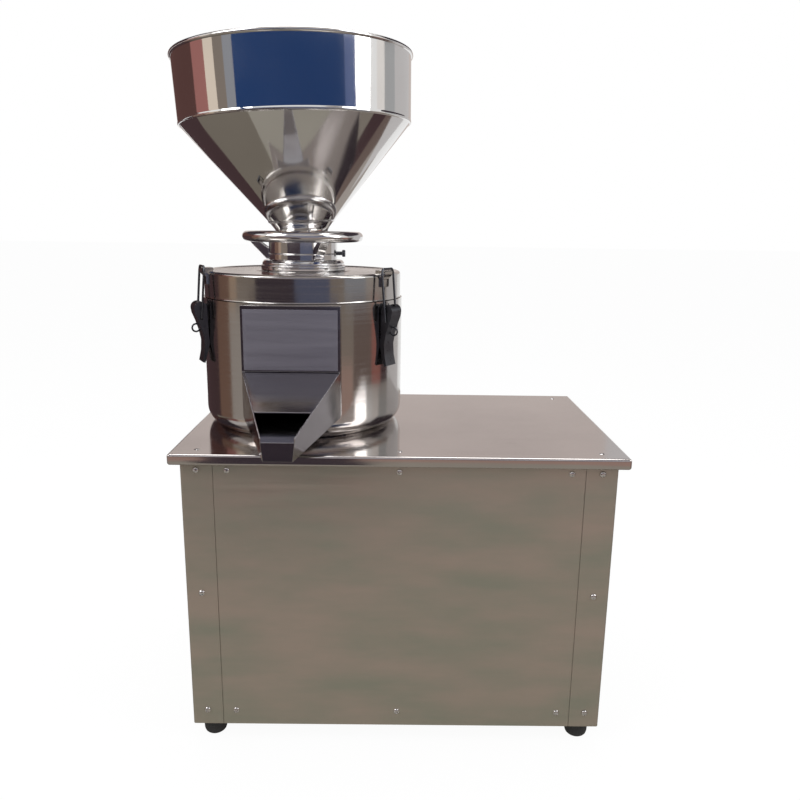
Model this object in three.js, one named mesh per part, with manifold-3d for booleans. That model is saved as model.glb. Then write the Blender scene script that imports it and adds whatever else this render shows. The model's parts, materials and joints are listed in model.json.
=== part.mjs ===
// Electric nut grinder: a stainless steel cabinet with the motor inside, and on its top a grinding
// drum with a discharge chute, three lid latches, an adjusting handwheel and a feed hopper.
// Millimetres, +Z up, the front with the chute towards -Y. The origin is on the floor, in the
// middle of the machine's footprint.
import * as THREE from "three";
import { mergeVertices } from "three/addons/utils/BufferGeometryUtils.js";
import Module from "manifold-3d";

const wasm = await Module();
wasm.setup();

// Clearances, and the sheet that the cabinet, chute and hopper are folded from
const SEAT_GAP = 0.3; // between two pieces that rest on each other
const RUN_GAP = 0.5; // round a piece that turns or slides
const SHEET = 1.5;

// Cabinet: the tabletop is a folded tray, the body under it is narrower on every side
const TABLE_WIDTH = 650;
const TABLE_DEPTH = 402;
const TABLE_LIP = 13;
const BODY_WIDTH = 627;
const BODY_DEPTH = 379;
const BODY_HEIGHT = 436.5; // from the tabletop's surface to the body's lower edge
const CORNER_WRAP = 47; // how far a side panel is folded round its corner
const POST_LEG = 30;
const POST_WALL = 3;
const RAIL_HEIGHT = 30;
const RAIL_DEPTH = 25;
const RAIL_WALL = 2;
const TRAY_WALL = 2;
const TRAY_UPSTAND = 40;
const DECK_LENGTH = 290;
const DECK_THICKNESS = 8;
const DECK_EDGE = 8; // between the deck and the side panel
const FOOT_HEIGHT = 30;
const FOOT_TOP_RADIUS = 18.5;
const FOOT_BASE_RADIUS = 16.5;
const FOOT_INSET = 28; // foot centre from the body's faces
const VENT_WIDTH = 110;
const VENT_HEIGHT = 6;
const VENT_PITCH = 18;
const VENT_COUNT = 7;
const VENT_DROP = 250; // top vent under the tabletop's surface

// Switch box and cable gland on the back panel
const SWITCH_BOX_WIDTH = 110;
const SWITCH_BOX_HEIGHT = 64;
const SWITCH_BOX_DEPTH = 34;
const SWITCH_BOX_WALL = 2.5;
const SWITCH_BOX_INSET = 98.5; // its middle from the body's right side
const SWITCH_BOX_DROP = 110; // its centre under the tabletop's surface
const BUTTON_RADIUS = 11;
const BUTTON_SPACING = 46;
const BUTTON_STAND = 7; // how far a button stands out of the box
const BUTTON_STEM = 9; // how far it reaches into the box
const GLAND_RADIUS = 12;
const GLAND_LENGTH = 22;
const GLAND_BORE = 5;
const GLAND_INSET = 51.5; // from the body's right side
const GLAND_DROP = 398;

// Mill: its vertical axis, from the cabinet's middle and the tabletop's front edge
const MILL_X = -159;
const MILL_Y = 232;
const DRUM_RADIUS = 157.5;
const DRUM_WALL = 2.5;
const DRUM_FOOT_BEND = 28; // radius of the rounded lower edge
const DRUM_BASE_BORE = 96;
const LID_SEAM = 204; // above the tabletop, as the heights that follow
const LID_TOP = 245.5;
const LID_EDGE_BEND = 5;
const CHAMBER_FLOOR = 104;
const OUTLET_WIDTH = 100;
const OUTLET_HEIGHT = 30;

// Spindle, its bearing housing and bearings
const SPINDLE_RADIUS = 15;
const SPINDLE_TOP = 128;
const SPINDLE_FOOT = -182;
const HOUSING_RADIUS = 45;
const HOUSING_BORE = 18;
const HOUSING_FOOT = -130;
const HOUSING_FLANGE_RADIUS = 88;
const HOUSING_FLANGE = 12;
const HOUSING_TOP = 97;
const BEARING_RADIUS = 31;
const BEARING_WIDTH = 16;
const SEAL_HEIGHT = 8;

// Grinding wheels, and what carries them
const WHEEL_RADIUS = 100;
const LOWER_WHEEL = 26; // its thickness
const LOWER_WHEEL_BORE = 36;
const UPPER_WHEEL = 25;
const UPPER_WHEEL_BORE = 40;
const WHEEL_GAP = 0.6; // between the wheels at the finest setting
const ROTOR_PLATE = 10;
const ROTOR_PLATE_RADIUS = 94;
const ROTOR_RISE = 6; // rotor plate above the chamber's floor
const SCRAPER_GAP = 5; // between the scraper's end and the drum's wall
const SCRAPER_HEIGHT = 19;
const SCRAPER_LIFT = 1.5; // over the chamber's floor
const FEED_SCREW_RADIUS = 30;
const FEED_SCREW_HUB = 17;
const FEED_SCREW_TOP = 186;
const CARRIER_PLATE = 12;
const CARRIER_RADIUS = 50;
const CARRIER_BORE = 43.5;
const CARRIER_TOP = 296;
const HOPPER_SEAT = 262; // the ledge in the carrier that the hopper's neck stands on
const HOPPER_LEDGE_BORE = 38;

// Adjusting handwheel on the lid's neck flange
const FLANGE_RADIUS = 68;
const FLANGE_HEIGHT = 15;
const COLLAR_RADIUS = 55;
const COLLAR_HEIGHT = 30;
const HANDWHEEL_RADIUS = 88.5; // to the middle of the bar
const HANDWHEEL_BAR = 8; // bar's radius
const HANDWHEEL_HEIGHT = 37; // bar's middle over the neck flange
const ARM_WIDTH = 14;
const ARM_ANGLES = [180, 60, -60];
const LOCK_SCREW_RADIUS = 3;
const LOCK_SCREW_HEAD = 5.5;
const LOCK_SCREW_RISE = 11; // over the neck flange
const LOCK_SCREW_REACH = 68; // end of its head from the mill's axis

// Hopper, measured along its own axis, which leans to the left
const HOPPER_LEAN = 2.1; // degrees
const HOPPER_NECK_RADIUS = 41;
const HOPPER_NECK = 46; // height of the straight neck
const HOPPER_SEAM = 205.5; // where the cone meets the band
const HOPPER_RIM = 304;
const HOPPER_SEAM_RADIUS = 178.5;
const HOPPER_RIM_RADIUS = 181;
const RIM_BEAD = 3; // radius of the rolled rim

// Discharge chute: a box on the drum's front, whose front sheet folds forward into a sloping
// cover, and under the cover a tapering trough
const CHUTE_WIDTH = 143;
const CHUTE_DEPTH = 9.5; // box front from the drum's wall
const CHUTE_TOP = 203;
const CHUTE_FOLD = 108; // height of the fold between the box front and the cover
const COVER_LENGTH = 84; // forward from the box front, measured level
const COVER_SLOPE = 25.2; // degrees below level
const CHUTE_BASE = 40; // lower edge of the side plates at the box
const TROUGH_START = 62; // floor height under the box front
const TROUGH_LENGTH = 140; // from the box front to the end of the spout
const SPOUT_WIDTH = 46;
const SPOUT_FLOOR = 42;
const SPOUT_LIP = 26; // how far the floor is folded down at its end
const SPOUT_UPSTAND = 6; // side plates over the floor at the spout
const PLATE_WIDTH = 136;
const PLATE_HEIGHT = 88;
const PLATE_THICKNESS = 0.8;
const PLATE_DROP = 5; // under the top of the box

// Lid latches: bracket with its lug and pin, forked lever, wire bail, and a keeper on the lid that
// the bail hooks over. Distances outwards count from the drum's wall, heights from the tabletop.
const LATCH_ANGLES = { right: -33, left: 207, rear: 87 }; // round the mill's axis, 0 is +X
const PIVOT_OUT = 14;
const PIVOT_HEIGHT = 190;
const PIVOT_RADIUS = 2.5;
const EYE_OUT = 13.2; // where the bail's ends turn in the lever
const EYE_DROP = 16; // under the pivot
const WIRE_RADIUS = 1.75;
const LEVER_WIDTH = 26;
const LEVER_HEAD = 10; // radius of the lever's round head
const LEVER_TIP = 105; // height of the tail's end
const LUG_WIDTH = 8;
const LUG_RADIUS = 5.5;
const PADLOCK_RING = 6.1; // to the middle of its bar
const PADLOCK_BAR = 1.4;
const PADLOCK_OUT = 19.5;
const PADLOCK_HEIGHT = 159;
const BRACKET_WIDTH = 24;
const BRACKET_BASE = 159;
const BRACKET_TOP = 200;
const BRACKET_THICKNESS = 2;
const BAR_OUT = 6.5; // the bail's bar from the drum's wall outwards
const BAR_HALF = 12.5; // half of the bail's width at its bar
const KEEPER_WIDTH = 20;
const KEEPER_RISE = 5.4; // its seat over the lid's top
const KEEPER_IN = 9; // how far it reaches in over the lid
const KEEPER_OUT = 9; // how far it reaches out past the drum's wall
const KEEPER_THICKNESS = 3; // of the leg down the lid's side
const KEEPER_LEG = 20; // from the lid's top down

// Motor and belt drive in the cabinet
const MOTOR_X = 115;
const MOTOR_Y = 200;
const MOTOR_RADIUS = 72;
const MOTOR_FIN = 7;
const MOTOR_FIN_COUNT = 24;
const MOTOR_LENGTH = 170;
const MOTOR_SHAFT_RADIUS = 12;
const MOTOR_SHAFT_SEAT = 40; // length of shaft inside the motor
const END_BELL = 22;
const BRACKET_RISE = 42; // motor's foot above the base tray
const MOTOR_BRACKET_WIDTH = 170;
const MOTOR_BRACKET_WALL = 5;
const TERMINAL_BOX = [46, 70, 60]; // out from the motor, across and up
const BELT_HEIGHT = -165; // belt's middle, from the tabletop
const BELT_WIDTH = 10;
const BELT_THICKNESS = 8;
const BELT_GAP = 0.6; // between the belt and its grooves
const SPINDLE_PULLEY_RADIUS = 60;
const MOTOR_PULLEY_RADIUS = 40;
const PULLEY_WIDTH = 24;

const ROUND = 48; // sides of the large turned pieces
const SMALL_ROUND = 24;
const WIRE_SIDES = 8;
const TABLE_HEIGHT = FOOT_HEIGHT + BODY_HEIGHT;
const rad = THREE.MathUtils.degToRad;

const FINISH = {
  mirror: new THREE.MeshStandardMaterial({ color: 0xc9c8c6, roughness: 0.08, metalness: 1 }),
  brushed: new THREE.MeshStandardMaterial({ color: 0x8f887c, roughness: 0.4, metalness: 0.9 }),
  tabletop: new THREE.MeshStandardMaterial({ color: 0xb3aba7, roughness: 0.16, metalness: 1 }),
  chrome: new THREE.MeshStandardMaterial({ color: 0xd8d8da, roughness: 0.1, metalness: 1 }),
  blackened: new THREE.MeshStandardMaterial({ color: 0x23272b, roughness: 0.35, metalness: 0.8 }),
  plate: new THREE.MeshStandardMaterial({ color: 0x77757f, roughness: 0.35, metalness: 0.7 }),
  rubber: new THREE.MeshStandardMaterial({ color: 0x121212, roughness: 0.85, metalness: 0 }),
  castIron: new THREE.MeshStandardMaterial({ color: 0x54575a, roughness: 0.6, metalness: 0.6 }),
  stone: new THREE.MeshStandardMaterial({ color: 0x9a958c, roughness: 0.9, metalness: 0 }),
  motorPaint: new THREE.MeshStandardMaterial({ color: 0x3d5566, roughness: 0.5, metalness: 0.2 }),
  darkPlastic: new THREE.MeshStandardMaterial({ color: 0x1c1d1f, roughness: 0.5, metalness: 0 }),
  green: new THREE.MeshStandardMaterial({ color: 0x1f8a3d, roughness: 0.4, metalness: 0 }),
  red: new THREE.MeshStandardMaterial({ color: 0xb51f1f, roughness: 0.4, metalness: 0 }),
};

// Solids from closed three.js geometries, and back

function solidFrom(vertProperties, triVerts) {
  return new wasm.Manifold(new wasm.Mesh({ numProp: 3, vertProperties, triVerts }));
}

function solid(geometry) {
  const bare = geometry.index ? geometry.toNonIndexed() : geometry.clone();
  bare.deleteAttribute("normal");
  bare.deleteAttribute("uv");
  const merged = mergeVertices(bare, 1e-4);
  const index = merged.index.array;
  const corners = [];
  for (let i = 0; i < index.length; i += 3) {
    const [a, b, c] = [index[i], index[i + 1], index[i + 2]];
    if (a !== b && b !== c && c !== a) corners.push(a, b, c);
  }
  const positions = merged.attributes.position.array;
  const made = solidFrom(positions, new Uint32Array(corners));
  return made.volume() < 0 ? solidFrom(positions, new Uint32Array(corners.reverse())) : made;
}

function join(...solids) {
  return solids.reduce((whole, next) => whole.add(next));
}

function cut(whole, ...tools) {
  return tools.reduce((rest, tool) => rest.subtract(tool), whole);
}

function addPiece(group, name, made, material) {
  const mesh = made.getMesh();
  const positions = new Float32Array(mesh.numVert * 3);
  for (let i = 0; i < mesh.numVert; i++) {
    positions.set(mesh.vertProperties.subarray(i * mesh.numProp, i * mesh.numProp + 3), i * 3);
  }
  const geometry = new THREE.BufferGeometry();
  geometry.setAttribute("position", new THREE.BufferAttribute(positions, 3));
  geometry.setIndex(new THREE.BufferAttribute(new Uint32Array(mesh.triVerts), 1));
  geometry.computeVertexNormals();
  const piece = new THREE.Mesh(geometry, material);
  piece.name = name;
  group.add(piece);
}

// Basic shapes, each in its own place

function block([x0, x1], [y0, y1], [z0, z1]) {
  const geometry = new THREE.BoxGeometry(x1 - x0, y1 - y0, z1 - z0);
  return solid(geometry.translate((x0 + x1) / 2, (y0 + y1) / 2, (z0 + z1) / 2));
}

// Turned about Z from a closed list of [radius, height] points.
function turned(profile, sides = ROUND) {
  const points = [...profile, profile[0]].map(([r, z]) => new THREE.Vector2(r, z));
  return solid(new THREE.LatheGeometry(points, sides).rotateX(Math.PI / 2));
}

function disc(radius, z0, z1, sides = ROUND) {
  const geometry = new THREE.CylinderGeometry(radius, radius, z1 - z0, sides);
  return solid(geometry.rotateX(Math.PI / 2).translate(0, 0, (z0 + z1) / 2));
}

function ring(outer, inner, z0, z1, sides = ROUND) {
  return turned([[outer, z0], [outer, z1], [inner, z1], [inner, z0]], sides);
}

// Points of an arc in a profile, from one angle to another in degrees.
function arc(r, z, radius, from, to, steps) {
  return Array.from({ length: steps + 1 }, (_, i) => {
    const angle = rad(from + ((to - from) * i) / steps);
    return [r + radius * Math.cos(angle), z + radius * Math.sin(angle)];
  });
}

function outline(points) {
  return new THREE.Shape(points.map(([x, y]) => new THREE.Vector2(x, y)));
}

// Extruded upwards from an outline in X and Y.
function prism(points, z0, z1) {
  const geometry = new THREE.ExtrudeGeometry(outline(points), { depth: z1 - z0, bevelEnabled: false });
  return solid(geometry.translate(0, 0, z0));
}

// Extruded along X, middle at 0, from an outline in Y and Z.
function acrossX(points, width) {
  const geometry = new THREE.ExtrudeGeometry(outline(points), { depth: width, bevelEnabled: false });
  const turn = new THREE.Matrix4().makeBasis(
    new THREE.Vector3(0, 1, 0),
    new THREE.Vector3(0, 0, 1),
    new THREE.Vector3(1, 0, 0),
  );
  return solid(geometry.translate(0, 0, -width / 2).applyMatrix4(turn));
}

// Extruded along Y, middle at 0, from an outline in X and Z.
function acrossY(points, width) {
  const geometry = new THREE.ExtrudeGeometry(outline(points), { depth: width, bevelEnabled: false });
  return solid(geometry.translate(0, 0, -width / 2).rotateX(Math.PI / 2));
}

// A round bar from one point to another.
function bar(from, to, radius, sides) {
  const start = new THREE.Vector3(...from);
  const run = new THREE.Vector3(...to).sub(start);
  const geometry = new THREE.CylinderGeometry(radius, radius, run.length(), sides);
  const turn = new THREE.Quaternion().setFromUnitVectors(
    new THREE.Vector3(0, 1, 0),
    run.clone().normalize(),
  );
  return solid(geometry.applyQuaternion(turn).translate(...start.addScaledVector(run, 0.5)));
}

// Bent wire with mitred corners: a straight bar whose rings are moved along the path, each ring
// from the last one until it meets the corner's mitre.
function wire(points, radius) {
  const path = points.map((point) => new THREE.Vector3(...point));
  const runs = path.slice(1).map((point, i) => point.clone().sub(path[i]).normalize());
  const geometry = new THREE.CylinderGeometry(radius, radius, runs.length, WIRE_SIDES, runs.length);
  const turn = new THREE.Quaternion().setFromUnitVectors(new THREE.Vector3(0, -1, 0), runs[0]);
  const place = geometry.attributes.position;
  for (let i = 0; i < place.count; i++) {
    const row = Math.round(runs.length / 2 - place.getY(i));
    const at = new THREE.Vector3(place.getX(i), 0, place.getZ(i)).applyQuaternion(turn).add(path[0]);
    for (let k = 0; k < row; k++) {
      const mitre = runs[k].clone().add(runs[k + 1] ?? runs[k]);
      const way = path[k + 1].clone().sub(at).dot(mitre) / runs[k].dot(mitre);
      at.addScaledVector(runs[k], way);
    }
    place.setXYZ(i, at.x, at.y, at.z);
  }
  return solid(geometry);
}

function torus(radius, tube, tubeSides, sides) {
  return solid(new THREE.TorusGeometry(radius, tube, tubeSides, sides));
}

// Cabinet, with X from its middle, Y from the tabletop's front edge and Z from the floor

const bodyLeft = -BODY_WIDTH / 2;
const bodyRight = BODY_WIDTH / 2;
const bodyFront = (TABLE_DEPTH - BODY_DEPTH) / 2;
const bodyBack = bodyFront + BODY_DEPTH;
const sheetUnder = TABLE_HEIGHT - SHEET - SEAT_GAP; // what stands under the tabletop's sheet
const railTop = sheetUnder - DECK_THICKNESS - SEAT_GAP;
const liner = SHEET + SEAT_GAP; // from a panel's outer face to what it is fixed on

function addTabletop(cabinet) {
  const half = TABLE_WIDTH / 2;
  const foldedEdge = TABLE_HEIGHT - TABLE_LIP;
  const tray = cut(
    block([-half, half], [0, TABLE_DEPTH], [foldedEdge, TABLE_HEIGHT]),
    block(
      [-half + SHEET, half - SHEET],
      [SHEET, TABLE_DEPTH - SHEET],
      [foldedEdge + SHEET, TABLE_HEIGHT - SHEET],
    ),
    block(
      [bodyLeft - RUN_GAP, bodyRight + RUN_GAP],
      [bodyFront - RUN_GAP, bodyBack + RUN_GAP],
      [foldedEdge - SHEET, TABLE_HEIGHT - 2 * SHEET],
    ),
    housingHole(),
  );
  addPiece(cabinet, "table_top", tray, FINISH.tabletop);
}

// The hole that the bearing housing hangs through, in the tabletop and the deck.
function housingHole() {
  const radius = HOUSING_RADIUS + SEAT_GAP * 2;
  return disc(radius, TABLE_HEIGHT - TABLE_LIP * 2, TABLE_HEIGHT + SHEET, SMALL_ROUND)
    .translate(MILL_X, MILL_Y, 0);
}

function addSidePanels(cabinet) {
  for (const [name, side] of [["left_side_panel", -1], ["right_side_panel", 1]]) {
    const outer = (side * BODY_WIDTH) / 2;
    const inner = outer - side * SHEET;
    const wrap = outer - side * CORNER_WRAP;
    const points = [
      [wrap, bodyFront],
      [outer, bodyFront],
      [outer, bodyBack],
      [wrap, bodyBack],
      [wrap, bodyBack - SHEET],
      [inner, bodyBack - SHEET],
      [inner, bodyFront + SHEET],
      [wrap, bodyFront + SHEET],
    ];
    addPiece(cabinet, name, prism(points, FOOT_HEIGHT, sheetUnder), FINISH.brushed);
  }
}

function flatPanel(front) {
  const half = BODY_WIDTH / 2 - CORNER_WRAP - SEAT_GAP;
  return block([-half, half], [front, front + SHEET], [FOOT_HEIGHT, sheetUnder]);
}

function addFrontAndBack(cabinet) {
  addPiece(cabinet, "front_panel", flatPanel(bodyFront), FINISH.brushed);
  const vents = Array.from({ length: VENT_COUNT }, (_, i) => {
    const z = TABLE_HEIGHT - VENT_DROP - i * VENT_PITCH;
    return block(
      [MOTOR_X - VENT_WIDTH / 2, MOTOR_X + VENT_WIDTH / 2],
      [bodyBack - SHEET * 2, bodyBack + SHEET],
      [z - VENT_HEIGHT, z],
    );
  });
  addPiece(cabinet, "back_panel", cut(flatPanel(bodyBack - SHEET), ...vents), FINISH.brushed);
}

function addFrame(cabinet) {
  const postFoot = FOOT_HEIGHT + TRAY_WALL + SEAT_GAP;
  const corners = {
    front_left: [bodyLeft + liner, bodyFront + liner, 1, 1],
    front_right: [bodyRight - liner, bodyFront + liner, -1, 1],
    rear_left: [bodyLeft + liner, bodyBack - liner, 1, -1],
    rear_right: [bodyRight - liner, bodyBack - liner, -1, -1],
  };
  for (const [corner, [x, y, inX, inY]] of Object.entries(corners)) {
    const points = [
      [x, y],
      [x + inX * POST_LEG, y],
      [x + inX * POST_LEG, y + inY * POST_WALL],
      [x + inX * POST_WALL, y + inY * POST_WALL],
      [x + inX * POST_WALL, y + inY * POST_LEG],
      [x, y + inY * POST_LEG],
    ];
    addPiece(cabinet, `corner_post_${corner}`, prism(points, postFoot, sheetUnder), FINISH.castIron);
  }
  const half = bodyRight - liner - POST_LEG - SEAT_GAP;
  for (const [name, front] of [
    ["front_top_rail", bodyFront + liner],
    ["rear_top_rail", bodyBack - liner - RAIL_DEPTH],
  ]) {
    const back = front + RAIL_DEPTH;
    const rail = cut(
      block([-half, half], [front, back], [railTop - RAIL_HEIGHT, railTop]),
      block(
        [-half - 1, half + 1],
        [front + RAIL_WALL, back - RAIL_WALL],
        [railTop - RAIL_HEIGHT + RAIL_WALL, railTop - RAIL_WALL],
      ),
    );
    addPiece(cabinet, name, rail, FINISH.castIron);
  }
  addBaseTray(cabinet, half);
  addDeck(cabinet);
}

function addBaseTray(cabinet, half) {
  const front = bodyFront + liner;
  const back = bodyBack - liner;
  const floorTop = FOOT_HEIGHT + TRAY_WALL;
  const upstand = [floorTop - TRAY_WALL / 2, FOOT_HEIGHT + TRAY_UPSTAND];
  const tray = join(
    block([bodyLeft + liner, bodyRight - liner], [front, back], [FOOT_HEIGHT, floorTop]),
    block([-half, half], [front, front + TRAY_WALL], upstand),
    block([-half, half], [back - TRAY_WALL, back], upstand),
  );
  addPiece(cabinet, "base_tray", tray, FINISH.castIron);
}

// Thick plate under the tabletop that takes the mill's load to the rails.
function addDeck(cabinet) {
  const left = bodyLeft + liner + POST_LEG + DECK_EDGE;
  const deck = cut(
    block(
      [left, left + DECK_LENGTH],
      [bodyFront + liner, bodyBack - liner],
      [sheetUnder - DECK_THICKNESS, sheetUnder],
    ),
    housingHole(),
  );
  addPiece(cabinet, "deck_plate", deck, FINISH.castIron);
}

function addFeet(cabinet) {
  const top = FOOT_HEIGHT - SEAT_GAP;
  const edge = 2;
  const profile = [
    [0, 0],
    [FOOT_BASE_RADIUS - edge, 0],
    [FOOT_BASE_RADIUS, edge],
    [FOOT_TOP_RADIUS, top - edge],
    [FOOT_TOP_RADIUS - edge, top],
    [0, top],
  ];
  const places = {
    front_left: [bodyLeft + FOOT_INSET, bodyFront + FOOT_INSET],
    front_right: [bodyRight - FOOT_INSET, bodyFront + FOOT_INSET],
    rear_left: [bodyLeft + FOOT_INSET, bodyBack - FOOT_INSET],
    rear_right: [bodyRight - FOOT_INSET, bodyBack - FOOT_INSET],
  };
  for (const [corner, [x, y]] of Object.entries(places)) {
    const foot = turned(profile, SMALL_ROUND).translate(x, y, 0);
    addPiece(cabinet, `foot_${corner}`, foot, FINISH.rubber);
  }
}

function addElectrics(cabinet) {
  const centre = TABLE_HEIGHT - SWITCH_BOX_DROP;
  const panel = bodyBack + SEAT_GAP;
  const face = panel + SWITCH_BOX_DEPTH;
  const halfWidth = SWITCH_BOX_WIDTH / 2;
  const halfHeight = SWITCH_BOX_HEIGHT / 2;
  const inside = SWITCH_BOX_WALL;
  const buttons = [["start_button", 1, FINISH.green], ["stop_button", -1, FINISH.red]];
  const boxX = bodyRight - SWITCH_BOX_INSET;
  const buttonX = (side) => boxX + (side * BUTTON_SPACING) / 2;
  const alongY = (radius, from, to, x) => bar([x, from, centre], [x, to, centre], radius, SMALL_ROUND);
  const box = cut(
    block(
      [boxX - halfWidth, boxX + halfWidth],
      [panel, face],
      [centre - halfHeight, centre + halfHeight],
    ),
    block(
      [boxX - halfWidth + inside, boxX + halfWidth - inside],
      [panel - 1, face - inside],
      [centre - halfHeight + inside, centre + halfHeight - inside],
    ),
    ...buttons.map(([, side]) => {
      return alongY(BUTTON_RADIUS + RUN_GAP, face - inside * 2, face + 1, buttonX(side));
    }),
  );
  addPiece(cabinet, "switch_box", box, FINISH.darkPlastic);
  for (const [name, side, finish] of buttons) {
    const button = alongY(BUTTON_RADIUS, face - BUTTON_STEM, face + BUTTON_STAND, buttonX(side));
    addPiece(cabinet, name, button, finish);
  }
  const gland = turned(
    [
      [GLAND_BORE, 0],
      [GLAND_RADIUS, 0],
      [GLAND_RADIUS, GLAND_LENGTH / 2],
      [GLAND_RADIUS * 0.8, GLAND_LENGTH],
      [GLAND_BORE, GLAND_LENGTH],
    ],
    SMALL_ROUND,
  );
  const place = [bodyRight - GLAND_INSET, panel, TABLE_HEIGHT - GLAND_DROP];
  addPiece(cabinet, "cable_gland", gland.rotate(-90, 0, 0).translate(...place), FINISH.darkPlastic);
}

// Motor and belt drive, in the same place system as the cabinet

const motorFoot = FOOT_HEIGHT + TRAY_WALL + BRACKET_RISE;
const motorTop = motorFoot + SEAT_GAP + MOTOR_LENGTH;
const beltZ = TABLE_HEIGHT + BELT_HEIGHT;

function addMotor(drive) {
  const bracketHalf = MOTOR_BRACKET_WIDTH / 2;
  const trayTop = FOOT_HEIGHT + TRAY_WALL + SEAT_GAP;
  const wall = MOTOR_BRACKET_WALL;
  const bracket = cut(
    block([-bracketHalf, bracketHalf], [-bracketHalf, bracketHalf], [trayTop, motorFoot]),
    block(
      [-bracketHalf + wall, bracketHalf - wall],
      [-bracketHalf - 1, bracketHalf + 1],
      [trayTop - 1, motorFoot - wall],
    ),
  );
  addPiece(drive, "motor_bracket", bracket, FINISH.castIron);

  const shaftHole = disc(
    MOTOR_SHAFT_RADIUS + RUN_GAP,
    motorTop - MOTOR_SHAFT_SEAT - RUN_GAP,
    motorTop + 1,
    SMALL_ROUND,
  );
  const body = cut(prism(finnedOutline(), motorFoot + SEAT_GAP, motorTop), shaftHole);
  addPiece(drive, "motor_body", body, FINISH.motorPaint);

  const bellFoot = motorTop + SEAT_GAP;
  const bell = turned(
    [
      [MOTOR_SHAFT_RADIUS + RUN_GAP, bellFoot],
      [MOTOR_RADIUS, bellFoot],
      [MOTOR_RADIUS, bellFoot + END_BELL / 3],
      [MOTOR_RADIUS * 0.45, bellFoot + END_BELL],
      [MOTOR_SHAFT_RADIUS + RUN_GAP, bellFoot + END_BELL],
    ],
    SMALL_ROUND,
  );
  addPiece(drive, "motor_end_bell", bell, FINISH.castIron);

  const [out, across, up] = TERMINAL_BOX;
  const boxStart = MOTOR_RADIUS + MOTOR_FIN + SEAT_GAP;
  const boxFoot = (motorFoot + motorTop - up) / 2;
  const terminals = block([boxStart, boxStart + out], [-across / 2, across / 2], [boxFoot, boxFoot + up]);
  addPiece(drive, "motor_terminal_box", terminals, FINISH.darkPlastic);
}

// The motor's cooling fins run up its round body.
function finnedOutline() {
  const outer = MOTOR_RADIUS + MOTOR_FIN;
  const finShare = 0.3; // of the pitch that a fin takes up
  const pitch = 360 / MOTOR_FIN_COUNT;
  return Array.from({ length: MOTOR_FIN_COUNT }, (_, i) => {
    const from = pitch * (i - finShare / 2);
    const to = pitch * (i + finShare / 2);
    return [
      [MOTOR_RADIUS, from],
      [outer, from],
      [outer, to],
      [MOTOR_RADIUS, to],
    ].map(([radius, angle]) => [radius * Math.cos(rad(angle)), radius * Math.sin(rad(angle))]);
  }).flat();
}

function pulley(radius, bore) {
  const groove = radius - BELT_THICKNESS - BELT_GAP;
  const half = PULLEY_WIDTH / 2;
  const slot = BELT_WIDTH / 2 + BELT_GAP;
  const profile = [
    [bore, -half],
    [radius, -half],
    [radius, -slot],
    [groove, -slot],
    [groove, slot],
    [radius, slot],
    [radius, half],
    [bore, half],
  ];
  return turned(profile, SMALL_ROUND);
}

// An outline round the two pulleys, at the belt's inner or outer face.
function beltOutline(large, small, run, turn) {
  const steps = 20;
  const lean = THREE.MathUtils.radToDeg(Math.asin((large - small) / run));
  const points = [
    ...arc(0, 0, large, 90 - lean, 270 + lean, steps),
    ...arc(run, 0, small, -90 + lean, 90 - lean, steps),
  ];
  const [c, s] = [Math.cos(turn), Math.sin(turn)];
  return points.map(([x, y]) => [x * c - y * s, x * s + y * c]);
}

function addBelt(drive) {
  const run = Math.hypot(MOTOR_X - MILL_X, MOTOR_Y - MILL_Y);
  const turn = Math.atan2(MOTOR_Y - MILL_Y, MOTOR_X - MILL_X);
  const inner = BELT_THICKNESS;
  const belt = cut(
    prism(
      beltOutline(SPINDLE_PULLEY_RADIUS, MOTOR_PULLEY_RADIUS, run, turn),
      beltZ - BELT_WIDTH / 2,
      beltZ + BELT_WIDTH / 2,
    ),
    prism(
      beltOutline(SPINDLE_PULLEY_RADIUS - inner, MOTOR_PULLEY_RADIUS - inner, run, turn),
      beltZ - BELT_WIDTH,
      beltZ + BELT_WIDTH,
    ),
  );
  addPiece(drive, "drive_belt", belt.translate(MILL_X, MILL_Y, 0), FINISH.rubber);
}

function addMotorShaft(rotor) {
  const shaft = disc(
    MOTOR_SHAFT_RADIUS,
    motorTop - MOTOR_SHAFT_SEAT,
    beltZ + PULLEY_WIDTH / 2,
    SMALL_ROUND,
  );
  addPiece(rotor, "motor_shaft", shaft, FINISH.chrome);
  const made = pulley(MOTOR_PULLEY_RADIUS, MOTOR_SHAFT_RADIUS + SEAT_GAP).translate(0, 0, beltZ);
  addPiece(rotor, "motor_pulley", made, FINISH.castIron);
}

// Mill, with its axis at X = Y = 0 and Z from the tabletop

const rotorFoot = CHAMBER_FLOOR + ROTOR_RISE;
const rotorTop = rotorFoot + ROTOR_PLATE;
const lowerWheelFoot = rotorTop + SEAT_GAP;
const lowerWheelTop = lowerWheelFoot + LOWER_WHEEL;
const upperWheelFoot = lowerWheelTop + WHEEL_GAP;
const upperWheelTop = upperWheelFoot + UPPER_WHEEL;
const flangeFoot = LID_TOP + SEAT_GAP;
const flangeTop = flangeFoot + FLANGE_HEIGHT;
const neckBore = CARRIER_RADIUS + RUN_GAP;
const drumInner = DRUM_RADIUS - DRUM_WALL;
const chuteFront = DRUM_RADIUS + CHUTE_DEPTH; // from the mill's axis, as the next one
const spoutReach = chuteFront + TROUGH_LENGTH;

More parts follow.
